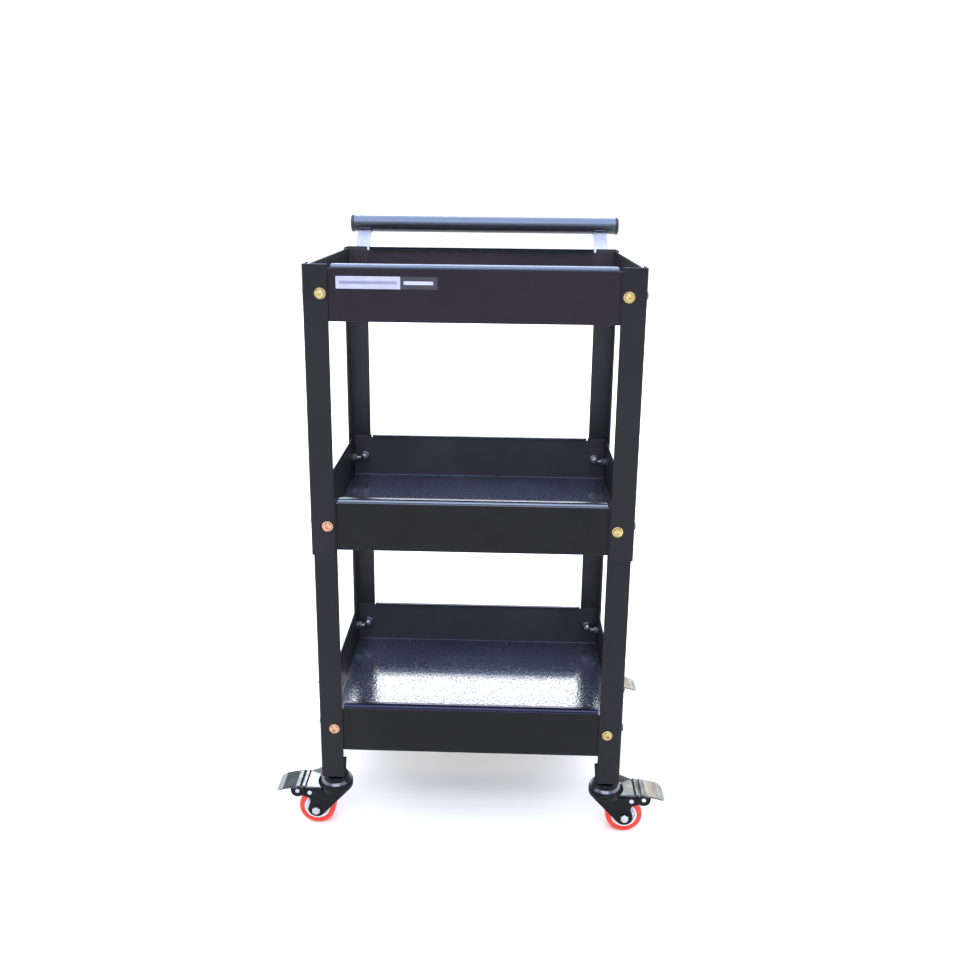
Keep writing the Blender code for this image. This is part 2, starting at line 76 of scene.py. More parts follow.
BOLT_IN, BOLT_UP = LEG_X - (_lo[0] + _hi[0]) / 2, (_lo[2] + _hi[2]) / 2 - TRAY_Z["top"]
_lo, _hi = mm_box("handle_tube")
TUBE_Y, TUBE_Z = (_lo[1] + _hi[1]) / 2 - Y0, (_lo[2] + _hi[2]) / 2
TUBE_R, TUBE_HALF, TUBE_X = (_hi[2] - _lo[2]) / 2, (_hi[0] - _lo[0]) / 2, (_hi[0] + _lo[0]) / 2
_lo, _hi = mm_box("handle_cap_right")
CAP_R, CAP_END = (_hi[2] - _lo[2]) / 2, _hi[0] - TUBE_X
_lo, _hi = mm_box("handle_bracket_right")
STRIP_X, STRIP_W, STRIP_Z0 = (_lo[0] + _hi[0]) / 2, _hi[0] - _lo[0], _lo[2]
_lo, _hi = mm_box("caster_stem_front_right")
STEM_X, STEM_Y = (_lo[0] + _hi[0]) / 2, Y0 - (_lo[1] + _hi[1]) / 2
_lo, _hi = mm_box("caster_wheel_front_right")
TRAIL, AXLE_Z = (_lo[0] + _hi[0]) / 2 - STEM_X, (_lo[2] + _hi[2]) / 2
WHEEL_R, WHEEL_HALF = (_hi[2] - _lo[2]) / 2, (_hi[1] - _lo[1]) / 2
CROWN_Z0, HEX_Z0 = 54.0, 74.1  # undersides of the fork's crown and of the stem's hexagon
FORK_IN, FORK_T, LOBE_R = 12.2, 2.2, 11.5  # side plates: inner face, thickness, axle lobe
PIVOT_D, PIVOT_Z = 50.5, 54.5  # brake pivot: distance from the stem, height
PIN_D, PIN_Z = PIVOT_D - 16.0, PIVOT_Z - 4.0  # fork's own cross pin
PEDAL_HALF, PEDAL_T = 18.0, 1.6  # pedal half-width and cheek thickness
CROWN_CLEAR = 24.0  # radius of the pedal's cut round the crown
PEDAL_START = 30.0  # distance from the stem at which the pedal's straight part begins
FOOT_X, FOOT_Y, EAR_X, EAR_H = 170.5, 121.5, 164.5, 29.0  # inner ends of the feet and ears
EAR_T, FOOT_TOP = 2.0, 3.0  # ear thickness, and foot plate top over the leg's lower end
STRIP_T, TUBE_WALL = 2.0, 1.5  # handle strip and tube wall


# ---- materials -------------------------------------------------------------------------------

def new_material(name, colour, metallic=0.0, rough=0.4):
    mat = bpy.data.materials.new(name)
    mat.use_nodes = True
    tree = mat.node_tree
    shader = tree.nodes["Principled BSDF"]
    shader.inputs["Base Color"].default_value = (*colour, 1.0)
    shader.inputs["Metallic"].default_value = metallic
    shader.inputs["Roughness"].default_value = rough
    mat.diffuse_color = (*colour, 1.0)
    return mat, tree, shader


def node(tree, kind, **settings):
    made = tree.nodes.new("ShaderNode" + kind)
    for key, value in settings.items():
        if key in made.inputs:
            made.inputs[key].default_value = value
        else:
            setattr(made, key, value)
    return made


def noise(tree, coords, scale, detail=2.0, rough=0.5, stretch=None):
    tex = node(tree, "TexNoise", Scale=scale, Detail=detail, Roughness=rough)
    source = coords.outputs["Object"]
    if stretch:
        mapping = node(tree, "Mapping", Scale=stretch)
        tree.links.new(source, mapping.inputs["Vector"])
        source = mapping.outputs["Vector"]
    tree.links.new(source, tex.inputs["Vector"])
    return tex.outputs["Fac"]


def ramp(tree, source, stops):
    made = node(tree, "ValToRGB")
    elements = made.color_ramp.elements
    while len(elements) < len(stops):
        elements.new(0.5)
    for element, (pos, value) in zip(elements, stops):
        element.position = pos
        element.color = value if len(value) == 4 else (*value, 1.0)
    tree.links.new(source, made.inputs["Fac"])
    return made.outputs["Color"]


def grey(v):
    return (v, v, v, 1.0)


def mix(tree, fac, a, b, blend="MIX"):
    made = node(tree, "Mix", data_type="RGBA", blend_type=blend)
    for socket, value in ((made.inputs[0], fac), (made.inputs[6], a), (made.inputs[7], b)):
        if isinstance(value, bpy.types.NodeSocket):
            tree.links.new(value, socket)
        else:
            socket.default_value = value
    return made.outputs[2]


def bump(tree, shader, height, strength, distance, after=None):
    made = node(tree, "Bump", Strength=strength, Distance=distance)
    tree.links.new(height, made.inputs["Height"])
    if after:
        tree.links.new(after.outputs["Normal"], made.inputs["Normal"])
    tree.links.new(made.outputs["Normal"], shader.inputs["Normal"])
    return made


def edge_mask(tree, coords, radius, low, high, patch):
    """Worn edges: where a rounded normal leaves the true one, broken up by noise."""
    soft = node(tree, "Bevel", samples=6, Radius=radius)
    geo = node(tree, "NewGeometry")
    dot = node(tree, "VectorMath", operation="DOT_PRODUCT")
    tree.links.new(soft.outputs["Normal"], dot.inputs[0])
    tree.links.new(geo.outputs["Normal"], dot.inputs[1])
    edge = ramp(tree, dot.outputs["Value"], ((low, grey(1.0)), (high, grey(0.0))))
    spots = ramp(tree, noise(tree, coords, patch, 4.0, 0.65),
                 ((0.50, grey(0.0)), (0.62, grey(1.0))))
    return mix(tree, 1.0, edge, spots, "MULTIPLY")


def powder_coat(name, tone, ior, rough, tint=(1.0, 0.93, 0.98), painted_sky_reflection=None, slope=(0.0, 0.45),
                peel=0.05, fine=0.03, grain=330.0, glints=None):
    """Fine-textured powder coat; peel and fine are the depths in mm of its two grains.
    painted_sky_reflection is a painted reflection of the sky: a lighter, bluish tone that comes in
    between the two values of slope as a face turns upward; glints is the roughness range of a
    coat that sparkles grain by grain."""
    mat, tree, shader = new_material(name, tone, 0.0, rough)
    coords = node(tree, "TexCoord")
    dim = tuple(v * 0.8 for v in tone)
    lift = tuple(v * 1.2 for v in tone)
    base = ramp(tree, noise(tree, coords, 9.0, 3.0), ((0.3, dim), (0.7, lift)))
    dust = ramp(tree, noise(tree, coords, 620.0, 2.0, 0.6), ((0.68, grey(0.0)), (0.76, grey(0.3))))
    base = mix(tree, dust, base, (0.040, 0.040, 0.044, 1.0))
    worn = edge_mask(tree, coords, 0.0006, 0.80, 0.97, 70.0)
    base = mix(tree, worn, base, (0.16, 0.16, 0.17, 1.0))
    # painted reflection: as a face turns upward its tone goes over to a lighter bluish one that
    # stands for the sky it would reflect
    if painted_sky_reflection:
        facing = node(tree, "SeparateXYZ")
        tree.links.new(node(tree, "NewGeometry").outputs["Normal"], facing.inputs[0])
        level = ramp(tree, facing.outputs["Z"], ((slope[0], grey(0.0)), (slope[1], grey(1.0))))
        base = mix(tree, level, base, (*painted_sky_reflection, 1.0))
    tree.links.new(base, shader.inputs["Base Color"])
    if glints:
        grains = noise(tree, coords, 420.0, 2.0, 0.6)
        sheen = ramp(tree, grains, ((0.50, grey(glints[0])), (0.62, grey(glints[1]))))
    else:
        clouds = noise(tree, coords, 30.0, 4.0)
        sheen = ramp(tree, clouds, ((0.3, grey(rough * 0.88)), (0.7, grey(rough * 1.15))))
    tree.links.new(sheen, shader.inputs["Roughness"])
    shader.inputs["IOR"].default_value = ior
    shader.inputs["Specular Tint"].default_value = (*tint, 1.0)
    first = bump(tree, shader, noise(tree, coords, grain, 2.0, 0.5), 1.0, peel * MM)
    bump(tree, shader, noise(tree, coords, 1300.0, 2.0, 0.6), 1.0, fine * MM, first)
    return mat


def metal(name, low, high, rough, scale=60.0, brushed=None, spot=None):
    mat, tree, shader = new_material(name, low, 1.0, rough)
    coords = node(tree, "TexCoord")
    tone = ramp(tree, noise(tree, coords, scale, 3.0), ((0.35, low), (0.65, high)))
    if spot:
        spots = noise(tree, coords, scale * 3.1, 2.0)
        spots = ramp(tree, spots, ((0.55, grey(0.0)), (0.75, grey(0.6))))
        tone = mix(tree, spots, tone, (*spot, 1.0))
    tree.links.new(tone, shader.inputs["Base Color"])
    sheen = noise(tree, coords, scale * 2.3, 3.0)
    sheen = ramp(tree, sheen, ((0.3, grey(rough - 0.07)), (0.7, grey(rough + 0.08))))
    tree.links.new(sheen, shader.inputs["Roughness"])
    if brushed:
        bump(tree, shader, noise(tree, coords, 900.0, 2.0, 0.6, brushed), 0.35, 0.00003)
    else:
        bump(tree, shader, noise(tree, coords, 700.0, 2.0, 0.6), 0.3, 0.00003)
    return mat


def plastic(name, low, high, rough, grain=900.0, depth=0.00004, ior=1.5):
    mat, tree, shader = new_material(name, low, 0.0, rough)
    shader.inputs["IOR"].default_value = ior
    coords = node(tree, "TexCoord")
    tone = ramp(tree, noise(tree, coords, 40.0, 3.0), ((0.35, low), (0.65, high)))
    tree.links.new(tone, shader.inputs["Base Color"])
    sheen = noise(tree, coords, 120.0, 3.0)
    sheen = ramp(tree, sheen, ((0.3, grey(rough - 0.05)), (0.7, grey(rough + 0.06))))
    tree.links.new(sheen, shader.inputs["Roughness"])
    bump(tree, shader, noise(tree, coords, grain, 2.0, 0.6), 0.4, depth)
    return mat


def label_material(split):
    """Two-tone blank sticker: a pale block and a dark block."""
    mat, tree, shader = new_material("label_print", (0.55, 0.55, 0.72), 0.0, 0.32)
    coords = node(tree, "TexCoord")
    sep = node(tree, "SeparateXYZ")
    tree.links.new(coords.outputs["Object"], sep.inputs[0])
    step = node(tree, "Math", operation="GREATER_THAN")
    tree.links.new(sep.outputs["X"], step.inputs[0])
    step.inputs[1].default_value = split * MM
    fade = ramp(tree, noise(tree, coords, 60.0, 3.0),
                ((0.3, (0.31, 0.30, 0.40)), (0.7, (0.37, 0.36, 0.47))))
    tree.links.new(mix(tree, step.outputs[0], fade, (0.012, 0.011, 0.016, 1.0)),
                   shader.inputs["Base Color"])
    bump(tree, shader, noise(tree, coords, 400.0, 2.0), 0.15, 0.00003)
    return mat


# Lit and shaded copies of one black powder coat: each tone is painted light, set for how bright the
# coat looks at its place (top tray outside, front legs above and below, back legs above and below,
# inside walls of the top tray and of the others, inside end walls); POWDER, the darkest, is for the
# outside of the lower trays and the feet.
POWDER_TOP_PAINTED_LIGHT = powder_coat("powder_coat_black_top_painted_light", (0.0059, 0.0044, 0.0061), 1.30, 0.42,
                         (0.98, 0.82, 0.97))
POWDER = powder_coat("powder_coat_black", (0.0019, 0.0018, 0.0019), 1.27, 0.42, (1.0, 0.94, 0.98))
POWDER_LEG_PAINTED_LIGHT = powder_coat("painted_light_powder_legs", (0.0053, 0.0048, 0.0053), 1.29, 0.40,
                         (1.0, 0.93, 1.0))
POWDER_LOW_PAINTED_LIGHT = powder_coat("painted_light_powder_low", (0.0047, 0.0043, 0.0050), 1.28, 0.40,
                         (1.0, 0.93, 1.0))
LEG_BACK_PAINTED_LIGHT = powder_coat("painted_light_powder_legs_back", (0.0248, 0.0224, 0.0264), 1.34, 0.40)
LEG_BACK_PAINTED_LIGHT_LOW = powder_coat("painted_light_powder_low_back", (0.0299, 0.0279, 0.0292), 1.34, 0.40)
POWDER_IN_PAINTED_LIGHT_TOP = powder_coat("painted_light_powder_inside_top", (0.0338, 0.0252, 0.0297), 1.36, 0.38)
POWDER_IN_PAINTED_LIGHT = powder_coat("painted_light_powder_inside", (0.0518, 0.0496, 0.0600), 1.36, 0.38)
# painted highlight: a light bluish tone along the inside of each tray's back fold, standing for the
# sky it reflects
POWDER_FOLD_PAINTED_HIGHLIGHT = powder_coat("powder_coat_black_fold_painted_highlight", (0.110, 0.135, 0.185), 1.60, 0.25, peel=0.03,
                          fine=0.02)
POWDER_SIDE_PAINTED_LIGHT = powder_coat("painted_light_powder_inside_ends", (0.0150, 0.0145, 0.0160), 1.30, 0.40)
# tray floors: real gloss, and a lighter bluish base tone that is painted light from the sky they
# reflect
POWDER_FLOOR_GLOSS_PAINTED_LIGHT = powder_coat("powder_coat_black_gloss_painted_light", (0.042, 0.048, 0.070), 2.00, 0.10,
                           (0.95, 0.97, 1.0), grain=300.0, glints=(0.04, 0.28), peel=0.22,
                           fine=0.006)
# rims: the bluish base tones are painted reflections of the sky, and on the top rim upward faces
# also go over to a lighter bluish painted sky reflection
RIM_TOP_PAINTED_REFLECTION = powder_coat("powder_coat_black_rim_top_painted_reflection", (0.010, 0.010, 0.016), 1.65, 0.24,
                      (0.75, 0.86, 1.0), (0.13, 0.15, 0.205), (0.35, 0.85), fine=0.02)
RIM_MIDDLE_PAINTED_REFLECTION = powder_coat("powder_coat_black_rim_mid_painted_reflection", (0.006, 0.006, 0.011), 2.00, 0.17,
                         (0.8, 0.87, 1.0), fine=0.02)
RIM_BOTTOM_PAINTED_REFLECTION = powder_coat("powder_coat_black_rim_low_painted_reflection", (0.004, 0.004, 0.011), 1.42, 0.15,
                         (0.6, 0.60, 1.0), fine=0.02)
# handle tube and its welds: upward faces go over to a lighter bluish tone, a painted reflection of
# the sky
POWDER_GRIP_PAINTED_REFLECTION = powder_coat("powder_coat_black_grip_painted_reflection", (0.008, 0.008, 0.012), 1.62, 0.30,
                          (0.9, 0.95, 1.0), (0.09, 0.115, 0.17), fine=0.02)
CASTER_BLACK = plastic("caster_enamel_black", (0.003, 0.003, 0.0034), (0.005, 0.005, 0.0055), 0.30,
                       500.0, 0.00005, 1.22)
# crown step: real gloss, and a lighter bluish base tone that is a painted highlight
CROWN_GLOSS_PAINTED_HIGHLIGHT = plastic("caster_enamel_gloss_painted_highlight", (0.010, 0.012, 0.026), (0.014, 0.017, 0.034), 0.18,
                      500.0, 0.00003, 1.8)
CAP_PLASTIC = plastic("cap_plastic_black", (0.008, 0.008, 0.010), (0.014, 0.014, 0.017), 0.42,
                      1100.0, 0.00006)
HUB_WHITE = plastic("hub_plastic_white", (0.72, 0.70, 0.66), (0.80, 0.78, 0.74), 0.42)
TYRE_RED = plastic("tyre_polyurethane_red", (0.68, 0.024, 0.009), (0.73, 0.032, 0.013), 0.38, 700.0,
                   0.00005, 1.42)
GOLD = metal("zinc_yellow", (0.38, 0.27, 0.10), (0.56, 0.43, 0.21), 0.30, 160.0,
             spot=(0.42, 0.31, 0.16))
# a more coppery yellow zinc, used on the left-hand bolts of the middle and bottom trays
COPPERY = metal("zinc_yellow_coppery", (0.46, 0.21, 0.12), (0.64, 0.37, 0.24), 0.32, 160.0,
                spot=(0.52, 0.36, 0.25))
SILVER = metal("zinc_bright", (0.42, 0.43, 0.44), (0.60, 0.60, 0.62), 0.34, 90.0)
STRIP = metal("zinc_strip", (0.29, 0.28, 0.31), (0.35, 0.34, 0.37), 0.42, 50.0)
# Pedal zinc in lit and shaded copies of one pressed plate: the left pedals take the lighter copies
# and the right ones the greyer copies, painted light; the dark and tan pads are painted reflections
# on the tilted outer flat
PLATE_PAINTED_LIT = metal("zinc_pressed_painted_lit", (0.26, 0.27, 0.275), (0.34, 0.35, 0.355), 0.30, 70.0,
                    brushed=(0.15, 1.0, 1.0))
PLATE_PAINTED_SHADE = metal("zinc_pressed_painted_shade", (0.10, 0.105, 0.092), (0.16, 0.165, 0.145), 0.36, 70.0,
                   brushed=(0.15, 1.0, 1.0))
BAND_PAINTED_LIT = metal("zinc_knurl_painted_lit", (0.40, 0.41, 0.39), (0.58, 0.58, 0.55), 0.30, 120.0)
BAND_PAINTED_SHADE = metal("zinc_knurl_painted_shade", (0.20, 0.20, 0.17), (0.42, 0.41, 0.36), 0.36, 120.0)
PAD_PAINTED_DARK_REFLECTION = metal("zinc_pad_painted_dark_reflection", (0.012, 0.015, 0.015), (0.024, 0.028, 0.027), 0.34, 70.0)
PAD_PAINTED_TAN_REFLECTION = metal("zinc_pad_painted_tan_reflection", (0.15, 0.13, 0.095), (0.24, 0.21, 0.165), 0.42, 70.0)
LIP_LIGHT = metal("zinc_lip", (0.17, 0.18, 0.165), (0.27, 0.28, 0.26), 0.34, 70.0)
FLANGE_TAN = metal("zinc_flange", (0.34, 0.34, 0.28), (0.48, 0.47, 0.40), 0.45, 120.0)
DARK_STEEL = metal("steel_dark", (0.045, 0.045, 0.050), (0.085, 0.085, 0.095), 0.38, 90.0)


# ---- geometry helpers ------------------------------------------------------------------------

def piece(bm, name, mat, body, slot, replaced=(), bevel=0.0, segments=2, smooth=40.0, pick=None):
    """Turn bm (mm, about the legs' centre) into a finished piece riding on a CAD body.

    mat may be a list of materials; pick(face centre, face normal) then gives the index of
    each face's material in it."""
    mats = mat if isinstance(mat, (list, tuple)) else [mat]
    bmesh.ops.remove_doubles(bm, verts=bm.verts, dist=0.002)
    bmesh.ops.recalc_face_normals(bm, faces=bm.faces)
    if pick:
        for face in bm.faces:
            face.material_index = pick(face.calc_center_median(), face.normal)
    bmesh.ops.transform(bm, matrix=Matrix.Scale(MM, 4) @ Matrix.Translation((0.0, Y0, 0.0)),
                        verts=bm.verts)
    mesh = bpy.data.meshes.new(name)
    bm.to_mesh(mesh)
    bm.free()
    mesh.polygons.foreach_set("use_smooth", [True] * len(mesh.polygons))
    mesh.set_sharp_from_angle(angle=math.radians(smooth))
    for each in mats:
        mesh.materials.append(each)
    obj = bpy.data.objects.new(name, mesh)
    bpy.context.scene.collection.objects.link(obj)
    if bevel:
        mod = obj.modifiers.new("edges", "BEVEL")
        mod.width = bevel * MM
        mod.segments = segments
        mod.limit_method = "ANGLE"
        mod.angle_limit = math.radians(35.0)
        mod.harden_normals = True
    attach(obj, body)
    if replaced:
        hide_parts(*replaced)
    return obj


def arc(cx, cy, r, a0, a1, steps):
    """Points on a circle about (cx, cy), from a0 to a1 degrees."""
    return [(cx + r * math.cos(math.radians(a0 + (a1 - a0) * k / steps)),
             cy + r * math.sin(math.radians(a0 + (a1 - a0) * k / steps))) for k in range(steps + 1)]


def soften(points, radius, steps=4, closed=True):
    """Round each corner of a 2-D path with a short curve of about the given radius."""
    out, n = [], len(points)
    for i, p in enumerate(points):
        if not closed and i in (0, n - 1):
            out.append(p)
            continue
        a, b = points[i - 1], points[(i + 1) % n]
        la, lb = math.dist(a, p), math.dist(b, p)
        r = min(radius, la * 0.45, lb * 0.45)
        s = (p[0] + (a[0] - p[0]) * r / la, p[1] + (a[1] - p[1]) * r / la)
        e = (p[0] + (b[0] - p[0]) * r / lb, p[1] + (b[1] - p[1]) * r / lb)
        for k in range(steps + 1):
            t = k / steps
            out.append(tuple((1 - t) ** 2 * s[j] + 2 * t * (1 - t) * p[j] + t * t * e[j]
                             for j in (0, 1)))
    return out


def prism(bm, outline, axis, lo, hi):
    """Extrude a 2-D outline along axis between lo and hi."""
    place = {"x": lambda a, b, t: (t, a, b), "y": lambda a, b, t: (a, t, b), "z": lambda a, b,
             t: (a, b, t)}[axis]
    rings = [[bm.verts.new(place(a, b, t)) for a, b in outline] for t in (lo, hi)]
    n = len(outline)
    for i in range(n):
        j = (i + 1) % n
        bm.faces.new((rings[0][i], rings[0][j], rings[1][j], rings[1][i]))
    bm.faces.new(rings[0])
    bm.faces.new(rings[1])


def hex_radius(corner, angle):
    """Distance to a hexagon's edge at an angle, given its corner radius."""
    return corner * math.cos(math.radians(30.0)) / math.cos((angle + math.pi / 6) % (math.pi / 3)
                                                            - math.pi / 6)


def turned(bm, profile, centre, axis, segments=32, closed=False):
    """Revolve (radius, height[, kind]) about axis.  kind 'hex' makes that ring hexagonal, and
    'cone' a hexagonal ring whose corners drop away as a nut's chamfer does."""
    axis = Vector(axis).normalized()
    side = Vector((0.0, 0.0, 1.0)) if abs(axis.z) < 0.9 else Vector((1.0, 0.0, 0.0))
    u = axis.cross(side).normalized()
    v = axis.cross(u)
    centre = Vector(centre)
    loops = []
    for entry in profile:
        r, h = entry[0], entry[1]
        kind = entry[2] if len(entry) > 2 else "round"
        ring = []
        for k in range(segments):
            a = 2 * math.pi * k / segments
            rr, hh = r, h
            if kind != "round":
                rr = hex_radius(r, a)
            if kind.startswith("cone"):
                drop = (rr - r * math.cos(math.pi / 6)) * 0.55
                hh = h - drop if kind == "cone+" else h + drop
            ring.append(bm.verts.new(centre + u * rr * math.cos(a) + v * rr * math.sin(a) + axis
                                     * hh))
        loops.append(ring)
    pairs = list(zip(loops, loops[1:]))
    if closed:
        pairs.append((loops[-1], loops[0]))
    for a, b in pairs:
        for i in range(segments):
            j = (i + 1) % segments
            bm.faces.new((a[i], a[j], b[j], b[i]))
    if not closed:
        bm.faces.new(loops[0])
        bm.faces.new(loops[-1])


def spun(name, mat, body, slot, profile, centre, axis, segments=32, closed=False, replaced=(),
         smooth=34, pick=None):
    """A piece made of one turned profile."""
    bm = bmesh.new()
    turned(bm, profile, centre, axis, segments, closed)
    return piece(bm, name, mat, body, slot, replaced, smooth=smooth, pick=pick)


def cut(name, mat, body, slot, outline, axis, lo, hi, **finish):
    """A piece made of one prism; finish holds piece's other arguments."""
    bm = bmesh.new()
    prism(bm, outline, axis, lo, hi)
    return piece(bm, name, mat, body, slot, **finish)


def sheet_grid(bm, rows):
    """Quad grid from equal rows of 3-D points."""
    verts = [[bm.verts.new(p) for p in row] for row in rows]
    for a, b in zip(verts, verts[1:]):
        for i in range(len(a) - 1):
            bm.faces.new((a[i], a[i + 1], b[i + 1], b[i]))


def thicken(obj, thickness, offset=-1.0, bevel=0.0):
    solid = obj.modifiers.new("sheet", "SOLIDIFY")
    solid.thickness = thickness * MM
    solid.offset = offset
    solid.use_even_offset = True
    if bevel:
        mod = obj.modifiers.new("edges", "BEVEL")
        mod.width = bevel * MM
        mod.segments = 2
        mod.limit_method = "ANGLE"
        mod.angle_limit = math.radians(50.0)
    return obj


def bead(name, points, radius, mat, body, slot):
    """Welding bead: a lumpy run of overlapping swellings along a line."""
    bm = bmesh.new()
    a, b = Vector(points[0]), Vector(points[1])
    axis = (b - a).normalized()
    length, count = (b - a).length, max(int((b - a).length / 0.45), 6)
    profile = []
    for k in range(count + 1):
        t = k / count
        swell = 0.82 + 0.18 * abs(math.sin(t * length / 1.5 * math.pi)) + 0.05 * math.sin(k * 1.7)
        end = min(1.0, math.sqrt(max(t * (1 - t), 0.0) * 14) + 0.25)
        profile.append((radius * swell * end, t * length))
    turned(bm, profile, a, axis, 12)
    return piece(bm, name, mat, body, slot, smooth=60)


# ---- trays -----------------------------------------------------------------------------------

# places of the materials in a tray's two lists, one for each side of the sheet
TRAY_WALL, TRAY_FLOOR, TRAY_RIM, TRAY_END, TRAY_FOLD = range(5)
# x of the vertices along a long wall, closest together where the rim's corner is cut round
RIM_STATIONS = [RIM_X - d for d in (0.0, 0.25, 0.8, 1.7, 2.9, 4.4, 6.1, 8.0)]
RIM_STATIONS += [135.0, 108.0, 81.0, 54.0, 27.0, 0.001]
EDGE_STATIONS = [NOTCH_X] + RIM_STATIONS + [-x for x in RIM_STATIONS[::-1]] + [-NOTCH_X]


def tray(level):
    hx, hy = TRAYS[level]
    z0 = TRAY_Z[level]
    bm = bmesh.new()

    def rect(shrink, z):
        r = max(TRAY_CORNER_R - shrink, 0.4)
        ax, ay = hx - shrink, hy - shrink
        pts = []
        for sx, sy, a0 in ((1, 1, 0), (-1, 1, 90), (-1, -1, 180), (1, -1, 270)):
            pts += arc(sx * (ax - r), sy * (ay - r), r, a0, a0 + 90, 5)
            if a0 in (0, 180):
                pts += [(sx * x, sy * ay) for x in EDGE_STATIONS]
        return [bm.verts.new((x, y, z)) for x, y in pts]

    rows = [rect(TRAY_BEND_R * (1 - math.sin(math.radians(a))),
                 z0 + TRAY_BEND_R * (1 - math.cos(math.radians(a))))
            for a in (0, 22.5, 45, 67.5, 90)]
    rows.append(rect(0.0, z0 + NOTCH_H))
    n = len(rows[0])
    bm.faces.new(rows[0])
    for a, b in zip(rows, rows[1:]):
        for i in range(n):
            bm.faces.new((a[i], a[(i + 1) % n], b[(i + 1) % n], b[i]))
    base, bend_z = rows[-1], z0 + RIM_H - RIM_R
    top, lip = {}, {}
    quarter = RIM_R * math.pi / 2
    full, cut_r = quarter + RIM_IN - RIM_R, 8.0

    def flange(v):
        """Points of the rolled rim above one wall vertex; the blank's corner is cut round."""
        side = 1.0 if v.co.y > 0 else -1.0
        d = RIM_X - abs(v.co.x)
        reach = full if d >= cut_r else full - cut_r + math.sqrt(cut_r ** 2 - (cut_r - d) ** 2)
        points = [(0.0, bend_z)]
        for k in range(1, 11):
            run = reach * k / 10.0
            t = min(run / RIM_R, math.pi / 2)
            points.append((RIM_R * (1 - math.cos(t)) + max(run - quarter, 0.0),
                           bend_z + RIM_R * math.sin(t)))
        return [bm.verts.new((v.co.x, side * (hy - a), z)) for a, z in points]

    for i in range(n):
        j = (i + 1) % n
        a, b = base[i], base[j]
        reach = max(abs(a.co.x), abs(b.co.x))
        along = abs(a.co.y - b.co.y) < 0.01 and abs(abs(a.co.y) - hy) < 0.01
        if along and reach < RIM_X + 0.1:
            for k, v in ((i, a), (j, b)):
                if k not in lip:
                    lip[k] = [v] + flange(v)
            for k in range(len(lip[i]) - 1):
                bm.faces.new((lip[i][k], lip[j][k], lip[j][k + 1], lip[i][k + 1]))
        elif not (along and reach < NOTCH_X + 0.1):
            for k, v in ((i, a), (j, b)):
                if k not in top:
                    top[k] = bm.verts.new((v.co.x, v.co.y, z0 + WALL_H))
            bm.faces.new((a, b, top[j], top[i]))

    def pick(centre, normal):
        if centre.z > bend_z + 0.1 and abs(centre.x) < RIM_X:
            return TRAY_RIM
        # the inside of the back fold takes the painted highlight
        if centre.y > hy - TRAY_BEND_R and z0 + 0.3 < centre.z < z0 + TRAY_BEND_R:
            return TRAY_FOLD
        if centre.z < z0 + 0.9:
            return TRAY_FLOOR
        return TRAY_END if abs(centre.x) > hx - 1.0 else TRAY_WALL

    # outside and inside take different copies of the one black coat, toned as painted light for
    # each place; the rims, the fold and the floors carry painted sky reflections
    skin = POWDER_TOP_PAINTED_LIGHT if level == "top" else POWDER
    rim = {"top": RIM_TOP_PAINTED_REFLECTION, "middle": RIM_MIDDLE_PAINTED_REFLECTION, "bottom": RIM_BOTTOM_PAINTED_REFLECTION}[level]
    inner = POWDER_IN_PAINTED_LIGHT_TOP if level == "top" else POWDER_IN_PAINTED_LIGHT
    outside = [skin, skin, rim, skin, skin]
    inside = [inner, POWDER_FLOOR_GLOSS_PAINTED_LIGHT, rim, POWDER_SIDE_PAINTED_LIGHT, POWDER_FOLD_PAINTED_HIGHLIGHT]
    obj = piece(bm, "tray_%s_pan" % level, outside + inside, "cart", "black_powder_coat",
                ["tray_" + level], smooth=35, pick=pick)
    if min(obj.data.polygons, key=lambda f: f.center.z).normal.z > 0:
        obj.data.flip_normals()
    thicken(obj, SHEET_T, -1.0, 0.22)
    obj.modifiers["sheet"].material_offset = len(outside)
    obj.modifiers["sheet"].material_offset_rim = TRAY_RIM
    return obj


# ---- legs ------------------------------------------------------------------------------------

def angle_outline(sx, sy, cx, cy, flange):
    """Section of a bent angle with its outer corner at (cx, cy); r and f are its bend radii."""
    r, t, f = 2.5, LEG_T, 1.2
    pts = [(flange, 0.0), (flange, t)]
    for a in (90, 60, 30, 0):
        turn = math.radians(a)
        pts.append((t + f - f * math.cos(turn), t + f - f * math.sin(turn)))
    pts += [(t, flange), (0.0, flange)]
    for a in (0, 18, 36, 54, 72, 90):
        turn = math.radians(a)
        pts.append((r - r * math.cos(turn), r - r * math.sin(turn)))
    return [(sx * (cx - a), sy * (cy - b)) for a, b in pts]


def end_faces(centre, normal):
    """Index 1, the material of the sheared ends, for faces that look up or down."""
    return 1 if abs(normal.z) > 0.5 else 0


